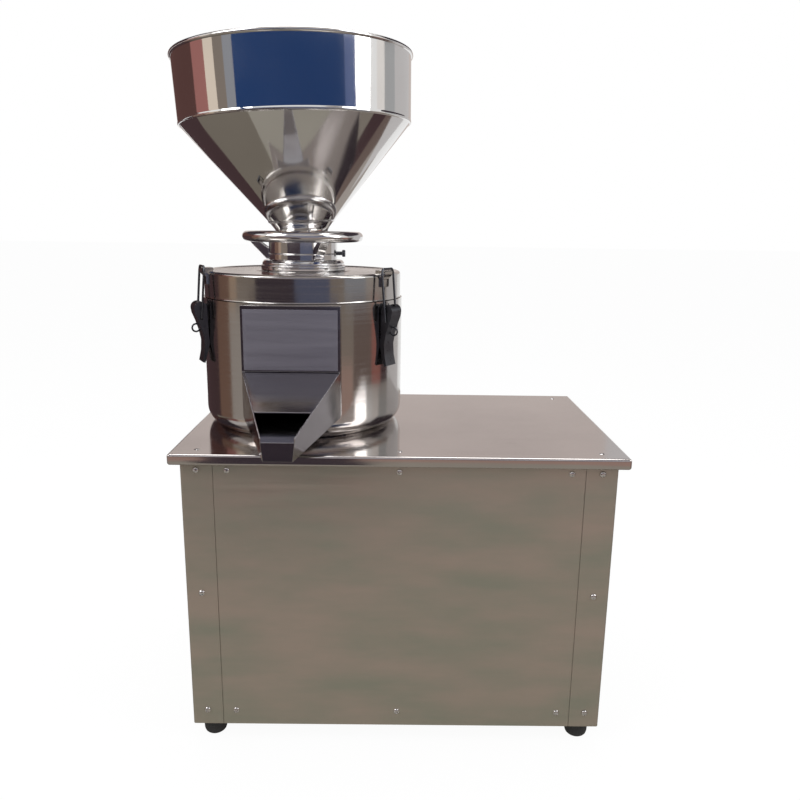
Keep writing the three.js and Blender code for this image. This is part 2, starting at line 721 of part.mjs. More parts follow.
function addSpindle(mill) {
  const spindle = disc(SPINDLE_RADIUS, SPINDLE_FOOT, SPINDLE_TOP, SMALL_ROUND);
  addPiece(mill, "spindle", spindle, FINISH.chrome);
  const spindlePulley = pulley(SPINDLE_PULLEY_RADIUS, SPINDLE_RADIUS + SEAT_GAP);
  addPiece(mill, "spindle_pulley", spindlePulley.translate(0, 0, BELT_HEIGHT), FINISH.castIron);

  const bore = SPINDLE_RADIUS + SEAT_GAP;
  addPiece(mill, "rotor_plate", ring(ROTOR_PLATE_RADIUS, bore, rotorFoot, rotorTop, SMALL_ROUND), FINISH.castIron);
  const wheel = grindingWheel(LOWER_WHEEL_BORE, lowerWheelFoot, lowerWheelTop);
  addPiece(mill, "lower_grinding_wheel", wheel, FINISH.stone);
  addScraper(mill);
  addFeedScrew(mill);
}

function grindingWheel(bore, foot, top) {
  return ring(WHEEL_RADIUS, bore, foot, top, SMALL_ROUND);
}

// The blade under the rotor plate that sweeps the paste round to the outlet.
function addScraper(mill) {
  const foot = CHAMBER_FLOOR + SCRAPER_LIFT;
  const reach = drumInner - SCRAPER_GAP;
  const arm = block([ROTOR_PLATE_RADIUS - 25, reach], [-8, 8], [foot, rotorFoot - SEAT_GAP]);
  const bladeStart = WHEEL_RADIUS + 3;
  const blade = block([bladeStart, reach], [-2, 2], [foot, foot + SCRAPER_HEIGHT]);
  addPiece(mill, "scraper", join(arm, blade), FINISH.mirror);
}

// Cap on the spindle's end, with three vanes that draw the nuts between the wheels.
function addFeedScrew(mill) {
  const foot = rotorTop + SEAT_GAP;
  const bore = SPINDLE_RADIUS + SEAT_GAP;
  const boreTop = SPINDLE_TOP + SEAT_GAP;
  const hub = turned(
    [
      [0, boreTop],
      [bore, boreTop],
      [bore, foot],
      [FEED_SCREW_HUB, foot],
      [FEED_SCREW_HUB, upperWheelTop],
      [FEED_SCREW_HUB / 2, FEED_SCREW_TOP],
      [0, FEED_SCREW_TOP],
    ],
    SMALL_ROUND,
  );
  const vaneThickness = 3;
  const vanes = [0, 120, 240].map((angle) => {
    const vane = block(
      [FEED_SCREW_HUB - 2, FEED_SCREW_RADIUS],
      [-vaneThickness / 2, vaneThickness / 2],
      [foot + 4, upperWheelTop],
    );
    return vane.rotate(0, 0, angle);
  });
  addPiece(mill, "feed_screw", join(hub, ...vanes), FINISH.mirror);
}

function addHousing(mill) {
  const seat = BEARING_RADIUS + SEAT_GAP;
  const pocket = BEARING_WIDTH + 2 * SEAT_GAP;
  const housing = turned([
    [seat, HOUSING_FOOT],
    [HOUSING_RADIUS, HOUSING_FOOT],
    [HOUSING_RADIUS, SEAT_GAP],
    [HOUSING_FLANGE_RADIUS, SEAT_GAP],
    [HOUSING_FLANGE_RADIUS, HOUSING_FLANGE],
    [HOUSING_RADIUS + HOUSING_FLANGE, HOUSING_FLANGE],
    [HOUSING_RADIUS, HOUSING_FLANGE * 2],
    [HOUSING_RADIUS, HOUSING_TOP],
    [seat, HOUSING_TOP],
    [seat, HOUSING_TOP - pocket],
    [HOUSING_BORE, HOUSING_TOP - pocket],
    [HOUSING_BORE, HOUSING_FOOT + pocket],
    [seat, HOUSING_FOOT + pocket],
  ], SMALL_ROUND);
  addPiece(mill, "bearing_housing", housing, FINISH.castIron);
  for (const [name, foot] of [
    ["upper_bearing", HOUSING_TOP - pocket + SEAT_GAP],
    ["lower_bearing", HOUSING_FOOT + SEAT_GAP],
  ]) {
    const bearing = ring(BEARING_RADIUS, SPINDLE_RADIUS + SEAT_GAP, foot, foot + BEARING_WIDTH, SMALL_ROUND);
    addPiece(mill, name, bearing, FINISH.chrome);
  }
  const sealFoot = HOUSING_TOP + SEAT_GAP;
  const seal = ring(HOUSING_RADIUS, SPINDLE_RADIUS + RUN_GAP, sealFoot, sealFoot + SEAL_HEIGHT, SMALL_ROUND);
  addPiece(mill, "spindle_seal", seal, FINISH.rubber);
}

function addDrum(mill) {
  const inner = drumInner;
  const bend = DRUM_FOOT_BEND;
  const bendRadius = DRUM_RADIUS - bend;
  const shell = turned([
    [DRUM_BASE_BORE, SEAT_GAP],
    ...arc(bendRadius, bend + SEAT_GAP, bend, -90, 0, 4),
    [DRUM_RADIUS, LID_SEAM],
    [inner, LID_SEAM],
    [inner, CHAMBER_FLOOR],
    [HOUSING_RADIUS + SEAT_GAP, CHAMBER_FLOOR],
    [HOUSING_RADIUS + SEAT_GAP, CHAMBER_FLOOR - DRUM_WALL],
    [inner, CHAMBER_FLOOR - DRUM_WALL],
    ...arc(bendRadius, bend + SEAT_GAP, bend - DRUM_WALL, 0, -90, 2),
    [DRUM_BASE_BORE, SEAT_GAP + DRUM_WALL],
  ]);
  const outlet = block(
    [-OUTLET_WIDTH / 2, OUTLET_WIDTH / 2],
    [-DRUM_RADIUS - DRUM_WALL, -inner * 0.8],
    [CHAMBER_FLOOR, CHAMBER_FLOOR + OUTLET_HEIGHT],
  );
  addPiece(mill, "drum", cut(shell, outlet), FINISH.mirror);
}

// The box over the outlet, and in front of it the trough, whose rear part the cover closes.
function addChute(mill) {
  const halfBox = CHUTE_WIDTH / 2;
  const halfSpout = SPOUT_WIDTH / 2;
  const plan = (inset, front) => [
    [-halfBox + inset, 0],
    [-halfBox + inset, -chuteFront],
    [-halfSpout + inset, -front],
    [halfSpout - inset, -front],
    [halfBox - inset, -chuteFront],
    [halfBox - inset, 0],
  ];
  const whole = prism(plan(0, spoutReach), 0, CHUTE_TOP);
  const hollow = prism(plan(SHEET, spoutReach - SHEET), -1, CHUTE_TOP + 1);
  const spoutEdge = SPOUT_FLOOR + SPOUT_UPSTAND;
  const side = acrossX(
    [
      [0, CHUTE_TOP],
      [-chuteFront, CHUTE_TOP],
      [-chuteFront, CHUTE_FOLD],
      [-spoutReach, spoutEdge],
      [-spoutReach, SPOUT_FLOOR - SPOUT_LIP],
      [-chuteFront, CHUTE_BASE],
      [0, CHUTE_BASE],
    ],
    CHUTE_WIDTH + 2,
  );
  const slope = (TROUGH_START - SPOUT_FLOOR) / (spoutReach - chuteFront);
  const floorBack = TROUGH_START + slope * chuteFront;
  const trough = acrossX(
    [
      [0, floorBack],
      [-spoutReach, SPOUT_FLOOR],
      [-spoutReach, SPOUT_FLOOR - SHEET],
      [0, floorBack - SHEET],
    ],
    CHUTE_WIDTH + 2,
  );
  const coverDrop = COVER_LENGTH * Math.tan(rad(COVER_SLOPE));
  const coverSheet = SHEET / Math.cos(rad(COVER_SLOPE));
  const cover = acrossX(
    [
      [-chuteFront + SHEET, CHUTE_FOLD],
      [-chuteFront, CHUTE_FOLD],
      [-chuteFront - COVER_LENGTH, CHUTE_FOLD - coverDrop],
      [-chuteFront - COVER_LENGTH, CHUTE_FOLD - coverDrop - coverSheet],
      [-chuteFront + SHEET, CHUTE_FOLD - coverSheet],
    ],
    CHUTE_WIDTH + 2,
  );
  const spoutGap = block(
    [-halfSpout + SHEET, halfSpout - SHEET],
    [-spoutReach - 1, -spoutReach + 2 * SHEET],
    [SPOUT_FLOOR, spoutEdge + 1],
  );
  const walls = cut(whole.subtract(hollow).intersect(side), spoutGap);
  const boxFront = block(
    [-halfBox, halfBox],
    [-chuteFront, -chuteFront + SHEET],
    [CHUTE_FOLD - SHEET, CHUTE_TOP],
  );
  const boxTop = block([-halfBox, halfBox], [-chuteFront, 0], [CHUTE_TOP - SHEET, CHUTE_TOP]);
  const drumFit = disc(DRUM_RADIUS + SEAT_GAP, -1, LID_TOP);
  const sheets = [trough, cover].map((sheet) => whole.intersect(sheet));
  const chute = join(walls, ...sheets, boxFront, boxTop).subtract(drumFit);
  addPiece(mill, "discharge_chute", chute, FINISH.mirror);

  const plateTop = CHUTE_TOP - PLATE_DROP;
  const plateBack = -chuteFront - SEAT_GAP;
  const namePlate = block(
    [-PLATE_WIDTH / 2, PLATE_WIDTH / 2],
    [plateBack - PLATE_THICKNESS, plateBack],
    [plateTop - PLATE_HEIGHT, plateTop],
  );
  addPiece(mill, "name_plate", namePlate, FINISH.plate);
}

function addLid(lidGroup) {
  const inner = DRUM_RADIUS - DRUM_WALL;
  const bend = LID_EDGE_BEND;
  const lid = turned([
    [inner, LID_SEAM + SEAT_GAP],
    [DRUM_RADIUS, LID_SEAM + SEAT_GAP],
    ...arc(DRUM_RADIUS - bend, LID_TOP - bend, bend, 0, 90, 4),
    [neckBore, LID_TOP],
    [neckBore, LID_TOP - DRUM_WALL],
    ...arc(DRUM_RADIUS - bend, LID_TOP - bend, bend - DRUM_WALL, 90, 0, 2),
  ]);
  const keepers = Object.values(LATCH_ANGLES).map((angle) => keeper().rotate(0, 0, angle));
  addPiece(lidGroup, "lid", join(lid, ...keepers), FINISH.mirror);

  const sealOuter = inner - SEAT_GAP;
  const sealDepth = 12; // above and below the seam
  const seal = ring(sealOuter, sealOuter - 6, LID_SEAM - sealDepth, LID_SEAM + sealDepth);
  addPiece(lidGroup, "lid_seal", seal, FINISH.rubber);

  const flange = turned([
    [neckBore, flangeFoot],
    [FLANGE_RADIUS, flangeFoot],
    [FLANGE_RADIUS, flangeTop - 5],
    [FLANGE_RADIUS - 4, flangeTop],
    [neckBore, flangeTop],
  ]);
  addPiece(lidGroup, "neck_flange", flange, FINISH.chrome);
}

// Non-turning sleeve with the upper wheel under it, moved up and down by the handwheel's thread.
function addCarrier(carrier) {
  const upperWheel = grindingWheel(UPPER_WHEEL_BORE, upperWheelFoot, upperWheelTop);
  addPiece(carrier, "upper_grinding_wheel", upperWheel, FINISH.stone);
  const plateFoot = upperWheelTop + SEAT_GAP;
  const plateTop = plateFoot + CARRIER_PLATE;
  const ledge = HOPPER_SEAT;
  const sleeve = turned([
    [HOPPER_LEDGE_BORE, plateFoot],
    [WHEEL_RADIUS, plateFoot],
    [WHEEL_RADIUS, plateTop],
    [CARRIER_RADIUS, plateTop],
    [CARRIER_RADIUS, CARRIER_TOP],
    [CARRIER_BORE, CARRIER_TOP],
    [CARRIER_BORE, ledge],
    [HOPPER_LEDGE_BORE, ledge],
  ], SMALL_ROUND);
  addPiece(carrier, "wheel_carrier", sleeve, FINISH.chrome);
}

function addHandwheel(handwheel) {
  const collarFoot = flangeTop + SEAT_GAP;
  const collarTop = collarFoot + COLLAR_HEIGHT;
  const barHeight = flangeTop + HANDWHEEL_HEIGHT;
  const collar = turned([
    [neckBore, collarFoot],
    [COLLAR_RADIUS, collarFoot],
    [COLLAR_RADIUS, collarTop - 2],
    [COLLAR_RADIUS - 2, collarTop],
    [neckBore, collarTop],
  ]);
  const rim = torus(HANDWHEEL_RADIUS, HANDWHEEL_BAR, 8, 40).translate(0, 0, barHeight);
  const arms = ARM_ANGLES.map((angle) => {
    const arm = acrossY(
      [
        [COLLAR_RADIUS - 2, collarFoot],
        [COLLAR_RADIUS + 3, collarFoot],
        [HANDWHEEL_RADIUS - 3, barHeight - HANDWHEEL_BAR],
        [HANDWHEEL_RADIUS, barHeight],
        [HANDWHEEL_RADIUS - HANDWHEEL_BAR, barHeight + 2],
        [COLLAR_RADIUS - 2, collarFoot + COLLAR_HEIGHT * 0.75],
      ],
      ARM_WIDTH,
    );
    return arm.rotate(0, 0, angle);
  });
  const screwZ = flangeTop + LOCK_SCREW_RISE;
  const along = (from, to, radius) => bar([from, 0, screwZ], [to, 0, screwZ], radius, 16);
  const screwHole = along(CARRIER_RADIUS - 3, COLLAR_RADIUS + 3, LOCK_SCREW_RADIUS + SEAT_GAP);
  addPiece(handwheel, "adjusting_handwheel", cut(join(collar, rim, ...arms), screwHole), FINISH.chrome);

  const headStart = LOCK_SCREW_REACH - 5;
  const screw = join(
    along(CARRIER_RADIUS + RUN_GAP, headStart + 1, LOCK_SCREW_RADIUS),
    along(headStart, LOCK_SCREW_REACH, LOCK_SCREW_HEAD),
  );
  addPiece(handwheel, "lock_screw", screw, FINISH.blackened);
}

// Turned about its own axis, from the ledge in the carrier upwards.
function addHopper(seat) {
  const lowest = 2; // the neck's end clears the ledge when the hopper leans
  const slope = Math.atan2(HOPPER_SEAM_RADIUS - HOPPER_NECK_RADIUS, HOPPER_SEAM - HOPPER_NECK);
  const coneShift = SHEET * Math.tan(slope / 2);
  const hopper = turned([
    [HOPPER_NECK_RADIUS, lowest],
    [HOPPER_NECK_RADIUS, HOPPER_NECK],
    [HOPPER_SEAM_RADIUS, HOPPER_SEAM],
    [HOPPER_RIM_RADIUS, HOPPER_RIM - 2 * RIM_BEAD],
    ...arc(HOPPER_RIM_RADIUS, HOPPER_RIM - RIM_BEAD, RIM_BEAD, -60, 180, 5),
    [HOPPER_RIM_RADIUS - SHEET, HOPPER_RIM - 2 * RIM_BEAD],
    [HOPPER_SEAM_RADIUS - SHEET, HOPPER_SEAM + coneShift],
    [HOPPER_NECK_RADIUS - SHEET, HOPPER_NECK + coneShift],
    [HOPPER_NECK_RADIUS - SHEET, lowest],
  ]);
  addPiece(seat, "hopper", hopper, FINISH.mirror);
}

// One latch, with X outwards from the mill's axis, Y along the drum's wall and Z from the tabletop

const pivot = [DRUM_RADIUS + PIVOT_OUT, PIVOT_HEIGHT];
const eye = [DRUM_RADIUS + EYE_OUT, PIVOT_HEIGHT - EYE_DROP];
const seatZ = LID_TOP + KEEPER_RISE; // the keeper's flat seat, under the bail's bar
const barZ = seatZ + SEAT_GAP + WIRE_RADIUS;

function pinAcross([x, z], radius, half) {
  return bar([x, -half, z], [x, half, z], radius, 16);
}

function addLatch(station, side) {
  addPiece(station, `latch_bracket_${side}`, latchBracket(), FINISH.blackened);
  addPiece(station, `latch_lever_${side}`, latchLever(), FINISH.blackened);
  addPiece(station, `latch_bail_${side}`, latchBail(), FINISH.blackened);
}

// A plate on the drum with one lug, and the pin that the lever turns on.
function latchBracket() {
  const plateIn = DRUM_RADIUS + SEAT_GAP;
  const plateOut = plateIn + BRACKET_THICKNESS;
  const half = BRACKET_WIDTH / 2;
  const lug = acrossY(
    [
      [plateIn, PIVOT_HEIGHT + LUG_RADIUS],
      [plateIn, PIVOT_HEIGHT - LUG_RADIUS],
      ...arc(...pivot, LUG_RADIUS, -90, 90, 6),
    ],
    LUG_WIDTH,
  );
  return join(
    block([plateIn, plateOut], [-half, half], [BRACKET_BASE, BRACKET_TOP]),
    lug,
    pinAcross(pivot, PIVOT_RADIUS, LEVER_WIDTH / 2 - SEAT_GAP),
  );
}

// Round head over the lug, a body that narrows downwards and a thin tail that bends out again.
// The points are [out from the drum's wall, height over the tail's end].
function latchLever() {
  const inSide = [
    [10.5, 0],
    [6.5, 14],
    [2.2, 31],
    [3.4, 50],
    [4, 70],
  ];
  const outSide = [
    [22.8, 77],
    [18, 65],
    [13, 49],
    [10, 34],
    [11, 17],
    [14.5, 1.5],
  ];
  const place = ([out, up]) => [DRUM_RADIUS + out, LEVER_TIP + up];
  const shape = acrossY(
    [...inSide.map(place), ...arc(...pivot, LEVER_HEAD, 180, 0, 8), ...outSide.map(place)],
    LEVER_WIDTH,
  );
  const padlockRing = torus(PADLOCK_RING, PADLOCK_BAR, 6, 12)
    .rotate(90, 0, 0)
    .translate(DRUM_RADIUS + PADLOCK_OUT, 0, PADLOCK_HEIGHT);
  const lugRoom = LUG_RADIUS + RUN_GAP * 2;
  const slot = block(
    [DRUM_RADIUS, pivot[0] + lugRoom],
    [-LUG_WIDTH / 2 - RUN_GAP, LUG_WIDTH / 2 + RUN_GAP],
    [PIVOT_HEIGHT - lugRoom, BRACKET_TOP + LEVER_HEAD],
  );
  return cut(
    shape.add(padlockRing),
    slot,
    pinAcross(pivot, PIVOT_RADIUS + SEAT_GAP, LEVER_WIDTH),
    pinAcross(eye, WIRE_RADIUS + SEAT_GAP, LEVER_WIDTH),
  );
}

function latchBail() {
  const leg = LEVER_WIDTH / 2 + SEAT_GAP + WIRE_RADIUS;
  const inLever = LEVER_WIDTH / 2 - 10; // where the wire's ends are, beside the lug's slot
  const barX = DRUM_RADIUS + BAR_OUT;
  const tail = eye[1] - LEVER_TIP;
  const kneeZ = eye[1] + tail + 2 * WIRE_RADIUS; // passes the lever's tail when the bail folds down
  const kneeX = eye[0] + ((barX - eye[0]) * (kneeZ - eye[1])) / (barZ - eye[1]);
  return wire(
    [
      [eye[0], -inLever, eye[1]],
      [eye[0], -leg, eye[1]],
      [kneeX, -leg, kneeZ],
      [barX, -BAR_HALF, barZ],
      [barX, BAR_HALF, barZ],
      [kneeX, leg, kneeZ],
      [eye[0], leg, eye[1]],
      [eye[0], inLever, eye[1]],
    ],
    WIRE_RADIUS,
  );
}

// A hook of flat bar welded over the lid's edge: the bail's bar lies on its seat, and the seat's
// outer part falls away so that the bar slips off when the lever opens.
function keeper() {
  const outer = DRUM_RADIUS + KEEPER_OUT;
  const leg = DRUM_RADIUS + KEEPER_THICKNESS;
  const seatEnd = DRUM_RADIUS + BAR_OUT - WIRE_RADIUS / 2;
  const fall = Math.tan(rad(24)) * (outer - seatEnd);
  const sunk = 1; // how far the weld side reaches into the lid's sheet
  return acrossY(
    [
      [DRUM_RADIUS - KEEPER_IN, seatZ],
      [DRUM_RADIUS - KEEPER_IN, LID_TOP - sunk],
      [DRUM_RADIUS - LID_EDGE_BEND, LID_TOP - sunk],
      [DRUM_RADIUS - sunk, LID_TOP - LID_EDGE_BEND],
      [DRUM_RADIUS - sunk, LID_TOP - KEEPER_LEG],
      [leg, LID_TOP - KEEPER_LEG],
      [leg, LID_TOP - 8],
      [outer, LID_TOP - 1],
      [outer, seatZ - fall],
      [seatEnd, seatZ],
    ],
    KEEPER_WIDTH,
  );
}

// The whole machine

const machine = new THREE.Group();
addTabletop(machine);
addSidePanels(machine);
addFrontAndBack(machine);
addFrame(machine);
addFeet(machine);
addElectrics(machine);
addBelt(machine);

const motor = new THREE.Group();
motor.position.set(MOTOR_X, MOTOR_Y, 0);
machine.add(motor);
addMotor(motor);
addMotorShaft(motor);

const mill = new THREE.Group();
mill.position.set(MILL_X, MILL_Y, TABLE_HEIGHT);
machine.add(mill);
addSpindle(mill);
addHousing(mill);
addDrum(mill);
addChute(mill);
addLid(mill);
addCarrier(mill);
addHandwheel(mill);

const hopperSeat = new THREE.Group();
hopperSeat.position.set(0, 0, HOPPER_SEAT);
hopperSeat.rotation.y = -rad(HOPPER_LEAN);
mill.add(hopperSeat);
addHopper(hopperSeat);

for (const [side, angle] of Object.entries(LATCH_ANGLES)) {
  const station = new THREE.Group();
  station.rotation.z = rad(angle);
  mill.add(station);
  addLatch(station, side);
}

// The origin goes to the middle of the footprint.
const footprint = new THREE.Box3().setFromObject(machine);
const middle = footprint.getCenter(new THREE.Vector3());
machine.position.set(-middle.x, -middle.y, 0);

export default machine;
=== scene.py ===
# %% [markdown]
# An electric nut grinder: a steel cabinet with the drive inside, and on its top a grinding drum
# with a chute, lid, latches, an adjusting handwheel and a tall hopper. The frame below brings in
# every rigid part at its real size. This lesson gives those parts their surfaces, and models
# again the pieces whose roundness, folds or fine edges a plain solid can't show.

# %% Load the frame
import json
import math

import bmesh
import bpy
from mathutils import Matrix, Vector


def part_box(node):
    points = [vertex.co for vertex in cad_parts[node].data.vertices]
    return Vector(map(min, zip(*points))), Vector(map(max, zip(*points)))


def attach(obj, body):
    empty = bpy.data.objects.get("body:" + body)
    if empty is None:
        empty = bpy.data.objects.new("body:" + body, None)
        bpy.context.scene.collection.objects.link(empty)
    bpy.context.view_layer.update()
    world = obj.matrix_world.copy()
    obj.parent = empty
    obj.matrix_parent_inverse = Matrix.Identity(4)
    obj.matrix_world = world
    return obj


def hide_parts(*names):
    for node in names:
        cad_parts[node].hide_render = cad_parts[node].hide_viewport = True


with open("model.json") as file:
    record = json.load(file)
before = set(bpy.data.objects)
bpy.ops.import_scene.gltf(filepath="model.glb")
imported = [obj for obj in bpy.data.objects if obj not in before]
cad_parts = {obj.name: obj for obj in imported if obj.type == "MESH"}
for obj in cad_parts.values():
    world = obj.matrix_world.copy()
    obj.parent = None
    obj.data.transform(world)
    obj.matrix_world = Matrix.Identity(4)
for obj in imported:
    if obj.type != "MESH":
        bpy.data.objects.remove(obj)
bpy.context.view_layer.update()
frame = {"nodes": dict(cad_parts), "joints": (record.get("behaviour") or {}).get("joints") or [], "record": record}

# %% [markdown]
# Most pieces stand round one upright axis, the mill's. Reading that axis and the tabletop's
# height from the frame keeps every later piece on its seat. Nearly all of the mill's pieces are
# made round Z, with heights that count from the tabletop, and at_mill then carries them there.
# What the frame gives is in metres. Lengths written here are in millimetres, as on a workshop
# drawing of such a machine, unless a comment says metres.

# %% Shared places and sizes
MM = 0.001
TURN = 2 * math.pi
seal_low, seal_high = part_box("lid_seal")
table_low, table_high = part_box("table_top")
MILL = (seal_low + seal_high) / 2
TABLE = table_high.z / MM
MILL_X = MILL.x / MM
MILL_Y = MILL.y / MM
at_mill = Matrix.Translation(Vector((MILL_X, MILL_Y, TABLE)) * MM)


def linked(item):
    """Puts an object in the scene."""
    bpy.context.scene.collection.objects.link(item)
    return item


print("mill axis", round(MILL_X, 2), round(MILL_Y, 2), "tabletop", round(TABLE, 2))

# %% [markdown]
# The camera's place, its tilt and its lens come from the photograph. They were found by
# fitting the cabinet's straight edges, so the render can be laid over the photograph.

# %% Camera
CAMERA_PLACE = (6.6, -1175.9, 782.2)
CAMERA_YAW = 0.40  # degrees, to the right
CAMERA_PITCH = -13.12
CAMERA_ROLL = 0.77
LENS = 33.53
SENSOR_WIDTH = 36
NEAREST_SEEN = 10
camera = linked(bpy.data.objects.new("camera", bpy.data.cameras.new("camera")))
camera.data.lens = LENS
camera.data.sensor_width = SENSOR_WIDTH
camera.data.clip_start = NEAREST_SEEN * MM
yaw = math.radians(CAMERA_YAW)
pitch = math.radians(CAMERA_PITCH)
forward = Vector((
    math.sin(yaw) * math.cos(pitch),
    math.cos(yaw) * math.cos(pitch),
    math.sin(pitch),
))
level = forward.cross(Vector((0, 0, 1))).normalized()
roll = Matrix.Rotation(math.radians(CAMERA_ROLL), 3, forward)
right = roll.transposed() @ level
up = right.cross(forward)
axes = Matrix((right, up, -forward)).transposed().to_4x4()
camera.matrix_world = Matrix.Translation(Vector(CAMERA_PLACE) * MM) @ axes
bpy.context.scene.camera = camera
print("camera", CAMERA_PLACE, "lens", LENS)

# %% [markdown]
# A finish is a material with its own small structure. Sheet steel is metal all through, so its
# look lies in how rough it is and in which direction it was brushed. One function makes the
# steels: a stretched noise gives the grain, a slow noise the handling marks.

# %% Helpers for materials
SMUDGE_SIZE = 5  # noise scales, per metre
WAVE_SIZE = 7
SHEET_BUMP = 0.002  # metres, as SOLID_BUMP is
SOLID_BUMP = 0.0015
MARKED = 0.86  # how dark handling marks are, against the clean metal
MARK_SHARE = 0.8  # how much of the marks' colour shows at most
MARK_START = 0.35  # the noise's values between which a mark comes up
MARK_FULL = 0.7
SOLID_SPREAD = 0.08


def new_material(name, colour, metallic, roughness):
    made = bpy.data.materials.new(name)
    made.use_nodes = True
    shader = made.node_tree.nodes["Principled BSDF"]
    shader.inputs["Base Color"].default_value = (*colour, 1)
    shader.inputs["Metallic"].default_value = metallic
    shader.inputs["Roughness"].default_value = roughness
    made.diffuse_color = (*colour, 1)
    return made, made.node_tree, shader


def noise(tree, scale, detail=3, stretch=(1, 1, 1)):
    """A noise texture in the piece's own place, stretched along an axis."""
    place = tree.nodes.new("ShaderNodeTexCoord")
    mapping = tree.nodes.new("ShaderNodeMapping")
    mapping.inputs["Scale"].default_value = stretch
    texture = tree.nodes.new("ShaderNodeTexNoise")
    texture.inputs["Scale"].default_value = scale
    texture.inputs["Detail"].default_value = detail
    tree.links.new(place.outputs["Object"], mapping.inputs["Vector"])
    tree.links.new(mapping.outputs["Vector"], texture.inputs["Vector"])
    return texture.outputs["Fac"]


def between(tree, value, low, high, start=0.3, end=0.7):
    """Carries a 0 to 1 value to the range from low to high."""
    ranged = tree.nodes.new("ShaderNodeMapRange")
    ranged.inputs["From Min"].default_value = start
    ranged.inputs["From Max"].default_value = end
    ranged.inputs["To Min"].default_value = low
    ranged.inputs["To Max"].default_value = high
    tree.links.new(value, ranged.inputs["Value"])
    return ranged.outputs["Result"]


def maths(tree, how, first, second):
    node = tree.nodes.new("ShaderNodeMath")
    node.operation = how
    for socket, value in zip(node.inputs, (first, second)):
        if isinstance(value, float):
            socket.default_value = value
        else:
            tree.links.new(value, socket)
    return node.outputs["Value"]


def tinted(tree, shader, colour, factor, second):
    """A colour that turns to a darker or another one where factor rises."""
    mix = tree.nodes.new("ShaderNodeMix")
    mix.data_type = "RGBA"
    mix.inputs["A"].default_value = (*colour, 1)
    mix.inputs["B"].default_value = (*second, 1)
    tree.links.new(factor, mix.inputs["Factor"])
    tree.links.new(mix.outputs["Result"], shader.inputs["Base Color"])


def bumped(tree, shader, height, strength, distance):
    bump = tree.nodes.new("ShaderNodeBump")
    bump.inputs["Strength"].default_value = strength
    bump.inputs["Distance"].default_value = distance
    tree.links.new(height, bump.inputs["Height"])
    tree.links.new(bump.outputs["Normal"], shader.inputs["Normal"])


def steel(
    name, colour, roughness, grain, stretch, spread=0.06, relief=0.02, waves=0.0,
    metallic=1, other=None, clouds=(1, 1, 1),
):
    """Sheet steel: fine grain along one axis, slow marks of handling, and gentle waves."""
    made, tree, shader = new_material(name, colour, metallic, roughness)
    lines = noise(tree, grain, 4, stretch)
    smudges = noise(tree, SMUDGE_SIZE, 4, clouds)
    lined = between(tree, lines, -spread, spread)
    smudged = between(tree, smudges, -spread / 2, spread)
    rough = maths(tree, "ADD", maths(tree, "ADD", lined, smudged), roughness)
    tree.links.new(rough, shader.inputs["Roughness"])
    second = other or [c * MARKED for c in colour]
    marks = between(tree, smudges, 0, MARK_SHARE, MARK_START, MARK_FULL)
    tinted(tree, shader, colour, marks, second)
    height = lines
    if waves:
        slow = between(tree, noise(tree, WAVE_SIZE, 1), 0, waves, 0, 1)
        height = maths(tree, "ADD", lines, slow)
    bumped(tree, shader, height, relief, SHEET_BUMP)
    return made


# %% [markdown]
# The machine shows several steels. The hopper is mirror sheet, and the chute a darker one with
# faint lines across it. The drum and lid are polished too, with fine lines from turning. The
# cabinet's panels are brushed fine, and handling has clouded them between a rosy and a
# greenish grey. The tabletop is brighter, with soft reflections.

# %% Finishes
MIRROR = (0.74, 0.73, 0.72)
mirror_steel = steel("mirror_steel", MIRROR, 0.06, 9, (1, 1, 1), 0.03, 0.015, 20.0)
chute_steel = steel("chute_steel", (0.42, 0.41, 0.43), 0.12, 70, (0.1, 1, 1), 0.05, 0.02, 12.0)
lined_steel = steel("lined_steel", (0.56, 0.54, 0.52), 0.115, 60, (0.12, 0.12, 9), 0.05, 0.015)
panel_steel = steel(
    "panel_steel", (0.53, 0.45, 0.395), 0.38, 150, (0.03, 0.03, 1), 0.05, 0.02,
    metallic=0.9, other=(0.37, 0.392, 0.325), clouds=(1.2, 1.6, 4),
)
table_steel = steel("table_steel", (0.62, 0.59, 0.58), 0.1, 180, (0.02, 1, 1), 0.04, 0.012)
bright_steel = steel("bright_steel", (0.74, 0.73, 0.73), 0.1, 40, (1, 1, 1), 0.04, 0.01)
# Painted reflection: this steel's dark colour stands in for the dark surroundings that the latches' polished steel
# reflects. Under a plain white studio they would look light.
painted_reflection_dark_steel = steel("painted_reflection_dark_steel", (0.12, 0.125, 0.14), 0.3, 90, (1, 1, 1), 0.08, 0.03)
frame_steel = steel("frame_steel", (0.3, 0.3, 0.3), 0.5, 60, (1, 1, 1), 0.1, 0.05)
plate_metal = steel(
    "plate_metal", (0.3, 0.295, 0.35), 0.36, 120, (0.05, 1, 1), 0.06, 0.02, metallic=0.8
)


def rough_solid(name, colour, metallic, roughness, grain, relief, darker=0.7):
    """Cast, moulded or painted matter: an even colour with a small grain."""
    made, tree, shader = new_material(name, colour, metallic, roughness)
    fine = noise(tree, grain, 5)
    slow = noise(tree, grain / 12, 3)
    rough = between(tree, fine, roughness - SOLID_SPREAD, roughness + SOLID_SPREAD)
    tree.links.new(rough, shader.inputs["Roughness"])
    shade = [c * darker for c in colour]
    tinted(tree, shader, colour, between(tree, slow, 0, 1), shade)
    bumped(tree, shader, fine, relief, SOLID_BUMP)
    return made


